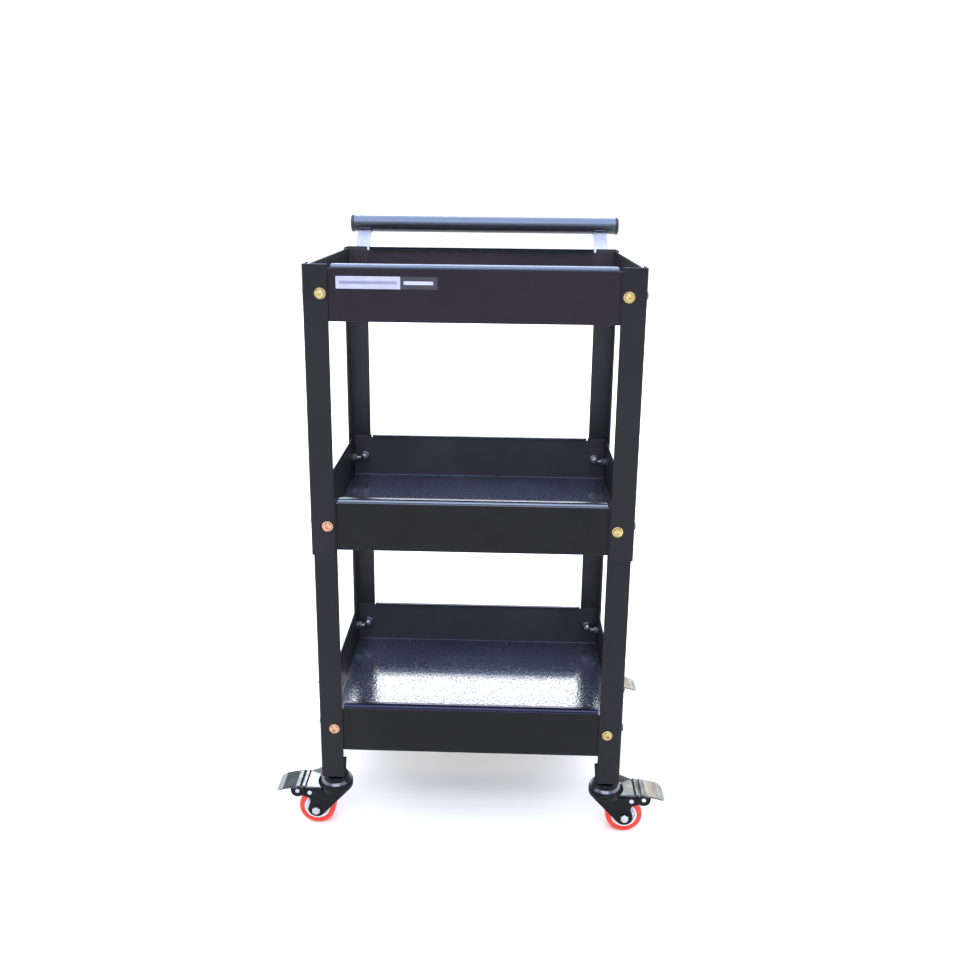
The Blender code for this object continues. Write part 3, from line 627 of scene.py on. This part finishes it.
def legs():
    for corner, (sx, sy) in CORNERS.items():
        # the back legs take a lighter copy of the coat (painted light); the upper legs' sheared
        # ends take the top rim's coat with its painted sky reflection
        cut("leg_upper_%s_angle" % corner, [POWDER_LEG_PAINTED_LIGHT if sy < 0 else LEG_BACK_PAINTED_LIGHT, RIM_TOP_PAINTED_REFLECTION], "cart",
            "black_powder_coat", angle_outline(sx, sy, LEG_X, LEG_Y, FLANGE), "z", UP_Z0, UP_Z1,
            replaced=["upper_leg_" + corner], bevel=0.7, segments=3, pick=end_faces)
        cut("leg_lower_%s_angle" % corner, [POWDER_LOW_PAINTED_LIGHT if sy < 0 else LEG_BACK_PAINTED_LIGHT_LOW, POWDER_LOW_PAINTED_LIGHT],
            "cart", "black_powder_coat", angle_outline(sx, sy, LOW_X, LOW_Y, FLANGE), "z", LOW_Z0,
            LOW_Z1, replaced=["lower_leg_" + corner], bevel=0.5, segments=3, pick=end_faces)
        # welded foot: level plate with upturned tapered ears against the inside of the flanges
        in_x, in_y = LOW_X - LEG_T + 0.02, LOW_Y - LEG_T + 0.02
        ear_z, weld_z, weld_in = LOW_Z0 + EAR_H, LOW_Z0 + FOOT_TOP + 0.1, EAR_T + 0.2
        plan = soften([(sx * FOOT_X, sy * (FOOT_Y + 6.5)), (sx * (FOOT_X + 5.5), sy * FOOT_Y),
                       (sx * in_x, sy * FOOT_Y), (sx * in_x, sy * in_y), (sx * FOOT_X, sy * in_y)],
                      2.0)
        cut("foot_plate_" + corner, POWDER, "cart", "black_powder_coat", plan, "z", LOW_Z0 + 0.05,
            LOW_Z0 + FOOT_TOP, bevel=0.35)
        ear = soften([(sx * in_x, LOW_Z0 + 0.6), (sx * (EAR_X + 2.0), LOW_Z0 + 0.6),
                      (sx * EAR_X, ear_z - 1.0), (sx * (EAR_X + 0.6), ear_z), (sx * in_x, ear_z)],
                     0.9)
        cut("foot_ear_%s_%s" % ("front" if sy < 0 else "back", corner), POWDER, "cart",
            "black_powder_coat", ear, "y", sy * in_y, sy * (in_y - EAR_T), bevel=0.35)
        ear = soften([(sy * in_y, LOW_Z0 + 0.6), (sy * FOOT_Y, LOW_Z0 + 0.6),
                      (sy * FOOT_Y, LOW_Z0 + 12.0), (sy * (FOOT_Y + 6.0), ear_z),
                      (sy * in_y, ear_z)], 1.2)
        cut("foot_ear_side_" + corner, POWDER, "cart", "black_powder_coat", ear, "x", sx * in_x,
            sx * (in_x - EAR_T), bevel=0.35)
        x, y = sx * (in_x - weld_in), sy * (in_y - weld_in)
        bead("foot_weld_x_" + corner, ((sx * (FOOT_X + 2), y, weld_z),
                                       (sx * (in_x - 3), y, weld_z)), 1.3, POWDER, "cart",
             "black_powder_coat")
        bead("foot_weld_y_" + corner, ((x, sy * (FOOT_Y + 6), weld_z),
                                       (x, sy * (in_y - 3), weld_z)), 1.3, POWDER, "cart",
             "black_powder_coat")


# ---- bolts -----------------------------------------------------------------------------------

def fastener(label, p, axis, stack, head, mat):
    """Flanged button-head screw outside, at head mm from p; washer, nut and thread inside."""
    profile = [(2.9, head - stack * 0.5), (2.9, head), (6.45, head), (6.75, head + 0.18),
               (6.75, head + 0.75), (6.5, head + 1.0), (5.5, head + 1.15), (5.35, head + 1.35)]
    for k in range(1, 7):
        rise = 2.25 * math.sin(math.radians(90 * k / 6))
        profile.append((5.35 - 1.95 * (k / 6) ** 1.7, head + 1.35 + rise))
    profile += [(2.55, head + 3.58), (2.35, head + 3.45, "hex"), (2.3, head + 1.5, "hex"),
                (0.4, head + 1.2)]
    spun(label + "_head", mat, "cart", "yellow_zinc", profile, p, axis, 24, replaced=[label])
    back = -stack - GAP
    spun(label + "_washer", SILVER, "cart", "zinc_plate",
         [(3.1, back), (5.8, back), (6.0, back - 0.2), (6.0, back - 0.95), (5.8, back - 1.15),
          (3.1, back - 1.15)], p, axis, 24, closed=True)
    nut0, nut1, ap = back - 1.2, back - 6.4, 5.72
    spun(label + "_nut", SILVER, "cart", "zinc_plate",
         [(3.0, nut0), (4.9, nut0), (ap, nut0, "cone+"), (ap, nut1, "cone-"), (4.9, nut1),
          (3.35, nut1), (3.0, nut1 + 0.4)], p, axis, 24, closed=True)
    thread, z = [(2.2, back - 12.0), (2.7, back - 11.6)], back - 11.4
    while z < back - 0.4:
        thread += [(3.0, z), (3.0, z + 0.18), (2.62, z + 0.5), (2.62, z + 0.62)]
        z += 0.9
    thread.append((2.7, -0.5))
    spun(label + "_thread", SILVER, "cart", "zinc_plate", thread, p, axis, 16, smooth=30)


def bolts():
    for level, z0 in TRAY_Z.items():
        z = z0 + BOLT_UP
        outer_x, outer_y = (LOW_X, LOW_Y) if level == "bottom" else (LEG_X, LEG_Y)
        stack = SHEET_T + (2 * (LEG_T + GAP) if level == "middle" else LEG_T + GAP)
        for corner, (sx, sy) in CORNERS.items():
            mat = COPPERY if sx < 0 and level != "top" else GOLD
            strip = STRIP_T + GAP if (level == "top" and sy > 0) else 0.0
            fastener("bolt_%s_%s_end" % (level, corner),
                     (sx * (LEG_X - BOLT_IN), sy * outer_y, z), (0, sy, 0), stack, GAP + strip, mat)
            fastener("bolt_%s_%s_side" % (level, corner),
                     (sx * outer_x, sy * (LEG_Y - BOLT_IN), z), (sx, 0, 0), stack, GAP, DARK_STEEL)


# ---- handle ----------------------------------------------------------------------------------

def handle():
    spun("handle_grip_tube", POWDER_GRIP_PAINTED_REFLECTION, "cart", "black_powder_coat",
         [(TUBE_R - TUBE_WALL, -TUBE_HALF), (TUBE_R - 0.35, -TUBE_HALF),
          (TUBE_R, -TUBE_HALF + 0.35), (TUBE_R, TUBE_HALF - 0.35), (TUBE_R - 0.35, TUBE_HALF),
          (TUBE_R - TUBE_WALL, TUBE_HALF)], (TUBE_X, TUBE_Y, TUBE_Z), (1, 0, 0), 64, closed=True,
         replaced=["handle_tube"], smooth=30)
    for side, sx in SIDES.items():
        x = TUBE_HALF + GAP
        end = CAP_END - x
        profile = [(4.0, -11.8), (TUBE_R - TUBE_WALL - 0.9, -11.8),
                   (TUBE_R - TUBE_WALL - 0.4, -11.0), (TUBE_R - TUBE_WALL - 0.4, 0.0),
                   (CAP_R - 0.4, 0.0), (CAP_R, 0.4), (CAP_R, end - 1.9)]
        profile += arc(CAP_R - 1.9, end - 1.9, 1.9, 15, 90, 5)
        profile += [(CAP_R - 4.2, end), (CAP_R - 4.8, end - 0.45), (3.0, end - 0.55),
                    (2.2, end - 0.2), (0.6, end - 0.15)]
        spun("handle_end_cap_" + side, CAP_PLASTIC, "cart", "black_plastic", profile,
             (TUBE_X + sx * x, TUBE_Y, TUBE_Z), (sx, 0, 0), 48, replaced=["handle_cap_" + side],
             smooth=30)
        # flat strip: up the leg, bent back at 45 degrees and wrapped a little way under the tube
        reach = TUBE_R + 0.35
        y_in = LEG_Y + GAP
        wrap = [(TUBE_Y - reach * math.sin(math.radians(a)),
                 TUBE_Z - reach * math.cos(math.radians(a))) for a in (48, 32, 12, -8)]
        path = [(y_in, STRIP_Z0), (y_in, UP_Z1 - 11.0),
                (wrap[0][0] - 9.5, wrap[0][1] - 10.0)] + wrap
        path = soften(path, 5.0, 5, closed=False)
        path = [(path[0][0], STRIP_Z0 + s) for s in (0.0, 0.4, 1.2, 2.4, 4.0)] + path[1:]
        rows, run, end_r = [], 0.0, 4.0
        for i, (y, z) in enumerate(path):
            run += math.dist(path[i - 1], (y, z)) if i else 0.0
            inset = end_r - math.sqrt(end_r ** 2 - (end_r - run) ** 2) if run < end_r else 0.0
            half = STRIP_W / 2 - inset
            rows.append([(sx * STRIP_X + half * k / 4.0, y, z) for k in range(-4, 5)])
        bm = bmesh.new()
        sheet_grid(bm, rows)
        obj = piece(bm, "handle_strip_" + side, STRIP, "cart", "zinc_plate",
                    ["handle_bracket_" + side], smooth=35)
        if obj.data.polygons[0].normal.y < 0:
            obj.data.flip_normals()
        thicken(obj, STRIP_T, 1.0, 0.3)
        a = math.radians(52)
        y, z = TUBE_Y - (TUBE_R + 0.5) * math.sin(a), TUBE_Z - (TUBE_R + 0.5) * math.cos(a) + 0.9
        bead("handle_weld_" + side, ((sx * STRIP_X - 8.5, y, z), (sx * STRIP_X + 8.5, y, z)), 1.2,
             POWDER_GRIP_PAINTED_REFLECTION, "cart", "black_powder_coat")


# ---- label -----------------------------------------------------------------------------------

LABEL_X, LABEL_Z = (-160.8, -42.4), (731.6, 746.2)


def label():
    """Blank two-tone sticker on the front of the top tray, with plain stripes."""
    (x0, x1), (z0, z1) = LABEL_X, LABEL_Z
    y = -TOP_HY - 0.12
    split = x0 + (x1 - x0) * 0.635
    mid, tall = (z0 + z1) / 2, z1 - z0
    cut("front_label_blank", label_material(split), "cart", "black_plastic",
        soften([(x0, z0), (x1, z0), (x1, z1), (x0, z1)], 1.0), "y", y, y - 0.12, smooth=30)
    pale = plastic("label_stripe_pale", (0.36, 0.36, 0.46), (0.42, 0.42, 0.53), 0.35)
    dark = plastic("label_stripe_dark", (0.16, 0.16, 0.24), (0.20, 0.20, 0.28), 0.35)
    stripes = (("front_label_stripe_dark", dark, x0 + 4.0, split - 4.0, tall * 0.12),
               ("front_label_stripe_pale", pale, split + 4.0, x1 - 5.0, tall * 0.14))
    for name, mat, a, b, half in stripes:
        cut(name, mat, "cart", "black_plastic",
            soften([(a, mid - half), (b, mid - half), (b, mid + half), (a, mid + half)], 1.0), "y",
            y - 0.12, y - 0.17, smooth=30)


# ---- casters ---------------------------------------------------------------------------------

# places of the materials in the pedal's list
PEDAL_PLATE, PEDAL_PAD, PEDAL_LIP, PEDAL_EDGE_SHADE, PEDAL_BAND = range(5)


def crown_step_highlight(centre, normal):
    """Index 1, the glossy enamel whose lighter bluish tone is a painted highlight, for the sloping
    step round the crown.
    """
    return 1 if 64.9 < centre.z < 67.7 and normal.z > 0 else 0


def caster(corner):
    sx, sy = CORNERS[corner]
    cx, cy = sx * STEM_X, sy * STEM_Y
    stem, up = (cx, cy, 0), (0, 0, 1)
    fork, wheel, brake = "fork_" + corner, "wheel_" + corner, "brake_" + corner

    # fixed stem: king pin rivet, big hex nut, thread, washer and lock nut
    spun("king_pin_" + corner, SILVER, "cart", "zinc_plate",
         [(3.0, CROWN_Z0 - 3.4), (7.0, CROWN_Z0 - 3.3), (8.2, CROWN_Z0 - 2.4),
          (8.0, CROWN_Z0 - 0.4), (5.0, CROWN_Z0 - 0.4), (5.0, CROWN_Z0 + 6.0)], stem, up, 32)
    hex_z1 = LOW_Z0 - 0.4
    spun("stem_hex_" + corner, CASTER_BLACK, "cart", "black_oxide",
         [(5.1, HEX_Z0), (8.6, HEX_Z0), (9.6, HEX_Z0, "cone-"), (9.6, hex_z1, "cone+"),
          (8.6, hex_z1), (5.1, hex_z1)], stem, up, 24, closed=True,
         replaced=["caster_stem_" + corner])
    z = LOW_Z0 + 3.1
    spun("stem_washer_" + corner, SILVER, "cart", "zinc_plate",
         [(5.1, z), (9.8, z), (10.0, z + 0.2), (10.0, z + 1.5), (9.8, z + 1.7), (5.1, z + 1.7)],
         stem, up, 32, closed=True)
    z, z1 = z + 1.75, LOW_Z0 + 11.0
    spun("stem_lock_nut_" + corner, SILVER, "cart", "zinc_plate",
         [(5.0, z), (7.8, z), (9.0, z, "cone-"), (9.0, z1, "cone+"), (7.8, z1), (5.6, z1)], stem,
         up, 24, closed=True)
    thread, z = [(4.9, CROWN_Z0 + 6.0), (4.9, HEX_Z0)], HEX_Z0 + 1.0
    while z < LOW_Z0 + 16.5:
        thread += [(5.0, z), (5.0, z + 0.25), (4.45, z + 0.75), (4.45, z + 0.9)]
        z += 1.25
    thread += [(4.6, LOW_Z0 + 17.2), (3.9, LOW_Z0 + 18.0)]
    spun("stem_thread_" + corner, SILVER, "cart", "zinc_plate", thread, stem, up, 24, smooth=30)

    # swivelling fork: domed crown pressed in one with the two side plates
    dome = [(22.0, 55.0), (22.0, 60.6), (21.8, 61.2), (21.4, 61.6), (21.1, 61.7), (20.9, 62.0),
            (20.8, 63.2), (20.6, 64.2), (20.2, 64.9), (18.8, 66.3), (17.4, 67.6), (16.9, 68.3),
            (16.6, 69.2), (16.1, 70.6), (15.5, 71.7), (14.4, 72.7), (13.2, 73.2), (11.8, 73.4)]
    spun("fork_crown_" + corner, [CASTER_BLACK, CROWN_GLOSS_PAINTED_HIGHLIGHT], fork, "black_oxide",
         [(17.5, 54.0), (20.9, 54.0), (21.7, 54.3)] + dome
         + [(5.8, 73.4), (5.8, 71.8), (12.0, 71.4), (15.0, 69.0), (17.2, 66.0), (19.4, 62.0),
            (19.4, 56.0)], stem, up, 56, closed=True, replaced=["caster_fork_" + corner], smooth=24,
         pick=crown_step_highlight)
    spun("fork_web_" + corner, CASTER_BLACK, fork, "black_oxide",
         [(5.8, CROWN_Z0 + 0.2), (19.2, CROWN_Z0 + 0.2), (19.2, CROWN_Z0 + 2.2),
          (5.8, CROWN_Z0 + 2.2)], stem, up, 48, closed=True)
    bridge = ((19.4, -12.0), (34.0, -12.0), (34.0, 12.0), (19.4, 12.0))
    bridge = [(cx + sx * d, cy + y) for d, y in bridge]
    cut("fork_bridge_" + corner, CASTER_BLACK, fork, "black_oxide", soften(bridge, 1.5), "z", 54.6,
        55.8, smooth=34)
    side = [(-16.4, CROWN_Z0 + 0.8), (-16.4, CROWN_Z0 - 0.4)]
    lobe = arc(TRAIL, AXLE_Z, LOBE_R, 222, 366, 16)
    horn = [(34.2, 36.0), (33.8, 40.0), (37.0, 43.0), (44.0, 45.3), (PIVOT_D + 1.0, 46.0),
            (PIVOT_D + 6.5, 49.5), (PIVOT_D + 8.0, PIVOT_Z), (PIVOT_D + 6.0, 57.6), (PIVOT_D, 58.6),
            (PIVOT_D - 8.0, 58.8), (20.0, CROWN_Z0 + 0.8)]
    side = soften(side + lobe + horn, 3.0, 4)
    for k, tag in ((-1, "a"), (1, "b")):
        cut("fork_side_%s_%s" % (tag, corner), CASTER_BLACK, fork, "black_oxide",
            [(cx + sx * d, z) for d, z in side], "y", cy + k * FORK_IN, cy + k * (FORK_IN + FORK_T),
            bevel=0.45, segments=3)
        y = FORK_IN + FORK_T
        spun("fork_rivet_%s_%s" % (tag, corner), SILVER, fork, "zinc_plate",
             [(2.4, y - 0.3), (2.4, y), (3.0, y + 0.05), (3.1, y + 0.5), (2.5, y + 1.2),
              (1.4, y + 1.6), (0.4, y + 1.7)], (cx + sx * PIN_D, cy, PIN_Z), (0, k, 0), 24)
    spun("fork_cross_pin_" + corner, SILVER, fork, "zinc_plate",
         [(2.0, -FORK_IN + 0.1), (2.0, FORK_IN - 0.1)], (cx + sx * PIN_D, cy, PIN_Z), (0, 1, 0), 16)

    # wheel: white moulded hub and red cast tyre
    axle = (cx + sx * TRAIL, cy, AXLE_Z)
    h = WHEEL_HALF
    half = [(3.6, h), (6.6, h), (7.2, h - 0.5), (7.6, h - 3.0), (8.2, h - 3.6), (13.6, h - 3.9),
            (14.4, h - 3.5), (15.0, h - 1.6), (15.4, h - 1.0), (16.9, h - 0.7), (17.5, h - 1.2)]
    bm = bmesh.new()
    turned(bm, [(r, -y) for r, y in half] + [(r, y) for r, y in half[::-1]], axle, (0, 1, 0), 56,
           True)
    for n in range(8):
        a = math.radians(45 * n + 10)
        u = Vector((math.cos(a), 0, math.sin(a)))
        w = Vector((-math.sin(a), 0, math.cos(a)))
        for k in (-1, 1):
            base = Vector(axle) + u * 8.0 + Vector((0, k * (h - 3.9), 0))
            corners = ((0, -0.7), (6.6, -0.7), (6.6, 0.7), (0, 0.7))
            ring = [base + u * p + w * q for p, q in corners]
            low = [bm.verts.new(p - Vector((0, k * 0.4, 0))) for p in ring]
            high = [bm.verts.new(p + Vector((0, k * 1.6, 0))) for p in ring]
            for i in range(4):
                bm.faces.new((low[i], low[(i + 1) % 4], high[(i + 1) % 4], high[i]))
            bm.faces.new(low)
            bm.faces.new(high)
    piece(bm, "wheel_hub_" + corner, HUB_WHITE, wheel, "red_polyurethane",
          ["caster_wheel_" + corner], smooth=34)
    half = [(17.6, h - 1.2), (18.0, h - 0.4), (18.8, h)]
    for a in (0, 15, 30, 45, 60, 75):
        turn = math.radians(a)
        half.append((21.2 + 3.3 * math.sin(turn), h - 3.3 + 3.3 * math.cos(turn)))
    half += [(24.7, h - 4.6), (24.9, h - 6.6), (WHEEL_R, h - 9.0)]
    spun("wheel_tyre_" + corner, TYRE_RED, wheel, "red_polyurethane",
         [(r, -y) for r, y in half] + [(r, y) for r, y in half[::-1]], axle, (0, 1, 0), 72,
         closed=True)

    # axle bolt: hex head towards one side, domed lock nut on the other
    y = FORK_IN + FORK_T + 0.35
    face = -1 if sx < 0 else 1
    spun("axle_bolt_" + corner, SILVER, fork, "zinc_plate",
         [(2.9, -y - 0.2), (2.9, y), (4.8, y), (5.7, y + 0.02, "cone-"), (5.7, y + 3.9, "cone+"),
          (4.8, y + 3.9), (1.0, y + 3.9)], axle, (0, face, 0), 24,
         replaced=["caster_axle_" + corner])
    spun("axle_nut_" + corner, SILVER, fork, "zinc_plate",
         [(3.0, y), (4.8, y), (5.7, y + 0.02, "cone-"), (5.7, y + 2.6, "cone+"), (4.9, y + 2.7),
          (4.6, y + 3.8), (3.7, y + 4.7), (2.4, y + 5.2), (0.8, y + 5.3)], axle, (0, -face, 0), 24)
    bm = bmesh.new()
    for k in (-1, 1):
        turned(bm, [(3.0, k * (FORK_IN - 0.15)), (5.0, k * (FORK_IN - 0.15)), (5.0, k * (h + 0.2)),
                    (3.0, k * (h + 0.2))], axle, (0, 1, 0), 24, True)
    piece(bm, "axle_spacers_" + corner, DARK_STEEL, fork, "zinc_plate", smooth=34)

    # brake pedal: pressed plate cut round the crown, with a raised knurled band, a rolled and
    # rounded outer end, and an upright flange along its back edge
    path = [(PEDAL_START, 61.8), (38.0, 61.8), (39.6, 63.1), (43.2, 63.1), (44.6, 61.9),
            (45.6, 61.9), (47.0, 63.1), (50.6, 63.1), (52.2, 61.5), (60.0, 60.4), (70.5, 58.0),
            (75.8, 56.0), (78.6, 53.8), (79.6, 51.8)]
    path = soften(path, 1.6, 4, closed=False)
    outer = []
    for a, b in zip(path, path[1:]):
        steps = max(1, int(math.dist(a, b) / 0.8))
        outer += [(a[0] + (b[0] - a[0]) * k / steps, a[1] + (b[1] - a[1]) * k / steps)
                  for k in range(steps)]
    outer.append(path[-1])
    cut_rows, end_r = 7, 8.0
    rows = []
    for i in range(cut_rows + len(outer)):
        row = []
        for k in range(-30, 31):
            t = k / 30.0
            d, z = outer[max(i - cut_rows, 0)]
            end = max(0.0, d - 71.6)
            half = PEDAL_HALF - (end_r - math.sqrt(max(end_r ** 2 - end * end, 0.0)))
            y = t * half
            if i < cut_rows:
                start = math.sqrt(max(CROWN_CLEAR ** 2 - y * y, 0.0))
                d = start + (PEDAL_START - start) * i / cut_rows
            rim = max(0.0, abs(y) - (half - 1.5))
            band = 1.0 if 40.2 < d < 51.0 and abs(t) < 0.92 else 0.0
            knurl = 0.42 * band * (1.0 if (k // 2 + i // 2) % 2 else -0.7)
            row.append((cx + sx * d, cy + y, z - 0.45 * rim ** 2 + knurl))
        rows.append(row)
    bm = bmesh.new()
    sheet_grid(bm, rows)
    # left pedals take the lit copies and right ones the shaded copies: painted light
    if sx < 0:
        mats = [PLATE_PAINTED_LIT, PAD_PAINTED_DARK_REFLECTION, LIP_LIGHT, DARK_STEEL, BAND_PAINTED_LIT]
    else:
        mats = [PLATE_PAINTED_SHADE, PAD_PAINTED_TAN_REFLECTION, LIP_LIGHT, DARK_STEEL, BAND_PAINTED_SHADE]

    def pick(centre, normal):
        d = sx * (centre.x - cx)
        # painted shade: the creases of the knurled band and the rolled side edges take dark steel
        painted_shade_crease = 38.4 < d < 39.8 or 51.8 < d < 53.0 or (sx < 0 and 44.0 < d < 46.2)
        if painted_shade_crease or abs(centre.y - cy) > PEDAL_HALF - 1.2:
            return PEDAL_EDGE_SHADE
        if d < 39.2:
            return PEDAL_PLATE
        if d < 52.4:
            return PEDAL_BAND
        return PEDAL_PAD if d < 70.5 else PEDAL_LIP

    obj = piece(bm, "brake_plate_" + corner, mats, brake, "zinc_plate", ["caster_brake_" + corner],
                smooth=50, pick=pick)
    if obj.data.polygons[len(obj.data.polygons) // 2].normal.z < 0:
        obj.data.flip_normals()
    thicken(obj, 1.5, -1.0, 0.0)
    # the plate's cut edges take the same painted shade
    obj.modifiers["sheet"].material_offset_rim = PEDAL_EDGE_SHADE
    flange = ((17.4, 60.6), (37.6, 60.6), (37.6, 62.0), (20.0, 69.2), (17.4, 69.2))
    flange = soften([(cx + sx * d, z) for d, z in flange], 0.8)
    cut("brake_flange_" + corner, FLANGE_TAN, brake, "zinc_plate", flange, "y",
        cy + PEDAL_HALF - 1.6, cy + PEDAL_HALF - 0.2, replaced=["caster_brake_" + corner],
        bevel=0.25)
    cheek = [(PIVOT_D - 9.0, 60.2)] + arc(PIVOT_D, PIVOT_Z, 9.2, 190, 350, 16)
    cheek = [(cx + sx * d, z) for d, z in cheek + [(PIVOT_D + 9.6, 58.6)]]
    cheek_in = FORK_IN + FORK_T + 0.4
    for k, tag in ((-1, "a"), (1, "b")):
        cut("brake_cheek_%s_%s" % (tag, corner), CASTER_BLACK, brake, "black_oxide", cheek, "y",
            cy + k * cheek_in, cy + k * (cheek_in + PEDAL_T), bevel=0.35)
        y = cheek_in + PEDAL_T
        spun("brake_rivet_%s_%s" % (tag, corner), SILVER, brake, "zinc_plate",
             [(2.3, y - 0.3), (2.9, y), (3.0, y + 0.3), (2.6, y + 0.9), (1.5, y + 1.3),
              (0.4, y + 1.4)], (cx + sx * PIVOT_D, cy, PIVOT_Z), (0, k, 0), 24)
    spun("brake_cross_rivet_" + corner, SILVER, brake, "zinc_plate",
         [(2.3, -cheek_in), (2.3, cheek_in)], (cx + sx * PIVOT_D, cy, PIVOT_Z), (0, 1, 0), 16)


# ---- stage, light and camera -----------------------------------------------------------------

LOOK = (0.23881, 0.01009, -0.02825)
PLACE = (34.509, -1170.461, 849.443)
LENS, SHIFT_Y = 33.039, -0.0833


def stage():
    mat, tree, shader = new_material("floor_pale", (0.90, 0.84, 0.76), 0.0, 0.8)
    coords = node(tree, "TexCoord")
    tone = noise(tree, coords, 3.0, 2.0)
    tone = ramp(tree, tone, ((0.3, (0.89, 0.83, 0.75)), (0.7, (0.91, 0.85, 0.77))))
    tree.links.new(tone, shader.inputs["Base Color"])
    bm = bmesh.new()
    sheet_grid(bm, [[(x, y, -0.0002) for x in (-12, -2, 2, 12)] for y in (-12, -2, 2, 5.2)])
    mesh = bpy.data.meshes.new("floor")
    bm.to_mesh(mesh)
    bm.free()
    mesh.materials.append(mat)
    floor = bpy.data.objects.new("floor", mesh)
    bpy.context.scene.collection.objects.link(floor)


def area(name, place, target, size, power, colour=(1.0, 1.0, 1.0)):
    lamp = bpy.data.lights.new(name, "AREA")
    lamp.shape = "RECTANGLE"
    lamp.size, lamp.size_y = size
    lamp.energy = power
    lamp.color = colour
    obj = bpy.data.objects.new(name, lamp)
    obj.location = place
    obj.rotation_euler = (Vector(target) - Vector(place)).to_track_quat("-Z", "Y").to_euler()
    bpy.context.scene.collection.objects.link(obj)
    return obj


def lighting():
    world = bpy.data.worlds.new("studio")
    bpy.context.scene.world = world
    world.use_nodes = True
    tree = world.node_tree
    coords = node(tree, "TexCoord")
    sep = node(tree, "SeparateXYZ")
    tree.links.new(coords.outputs["Generated"], sep.inputs[0])
    high = (2.1, 2.45, 3.2)
    behind = ramp(tree, sep.outputs["Z"], ((0.0, (1.2, 1.2, 1.2)), (0.20, (1.4, 1.4, 1.45)),
                                           (0.34, (1.9, 2.05, 2.35)), (0.7, high)))
    ahead = ramp(tree, sep.outputs["Z"], ((0.0, (1.6, 1.8, 2.2)), (0.14, (1.6, 1.8, 2.2)),
                                          (0.26, (0.16, 0.21, 0.36)), (0.57, (0.17, 0.23, 0.42)),
                                          (0.66, (1.3, 1.6, 2.2)), (0.85, high)))
    turn = node(tree, "MapRange")
    tree.links.new(sep.outputs["Y"], turn.inputs["Value"])
    turn.inputs["From Min"].default_value = -0.25
    turn.inputs["From Max"].default_value = 0.25
    wide = node(tree, "Math", operation="ABSOLUTE")
    tree.links.new(sep.outputs["X"], wide.inputs[0])
    sides = ramp(tree, wide.outputs["Value"], ((0.62, grey(0.0)), (0.82, grey(1.0))))
    room = mix(tree, turn.outputs["Result"], ahead, behind)
    tree.links.new(mix(tree, sides, room, (2.4, 2.5, 2.7, 1.0)),
                   tree.nodes["Background"].inputs["Color"])
    tree.nodes["Background"].inputs["Strength"].default_value = 1.0
    area("panel_back", (0.0, 6.0, 3.978), (0.0, 0.0, 0.119), (9.0, 0.6), 180.0, (1.0, 0.97, 0.92))
    area("panel_sky", (0.0, -3.6, 3.8), (0.0, 0.0, 0.6), (4.0, 2.8), 150.0, (0.74, 0.85, 1.0))


def camera():
    """Looks slightly down at the front; LOOK is its pitch, roll and yaw in radians."""
    pitch, roll, yaw = LOOK
    to_cam = (Matrix.Rotation(pitch, 3, "X") @ Matrix.Rotation(roll, 3, "Y")
              @ Matrix.Rotation(yaw, 3, "Z"))
    right = to_cam.transposed() @ Vector((1, 0, 0))
    up = to_cam.transposed() @ Vector((0, 0, 1))
    back = to_cam.transposed() @ Vector((0, -1, 0))
    data = bpy.data.cameras.new("camera")
    data.sensor_width = 36.0
    data.lens = LENS
    data.shift_y = SHIFT_Y
    obj = bpy.data.objects.new("camera", data)
    place = Vector((PLACE[0], PLACE[1] + Y0, PLACE[2])) * MM
    obj.matrix_world = Matrix((
        (right.x, up.x, back.x, place.x), (right.y, up.y, back.y, place.y),
        (right.z, up.z, back.z, place.z), (0.0, 0.0, 0.0, 1.0)))
    bpy.context.scene.collection.objects.link(obj)
    bpy.context.scene.camera = obj


bpy.context.scene.view_settings.view_transform = "Standard"
camera()
stage()
lighting()
for level_name in TRAYS:
    tray(level_name)
legs()
bolts()
handle()
label()
for corner_name in CORNERS:
    caster(corner_name)

bpy.context.view_layer.update()
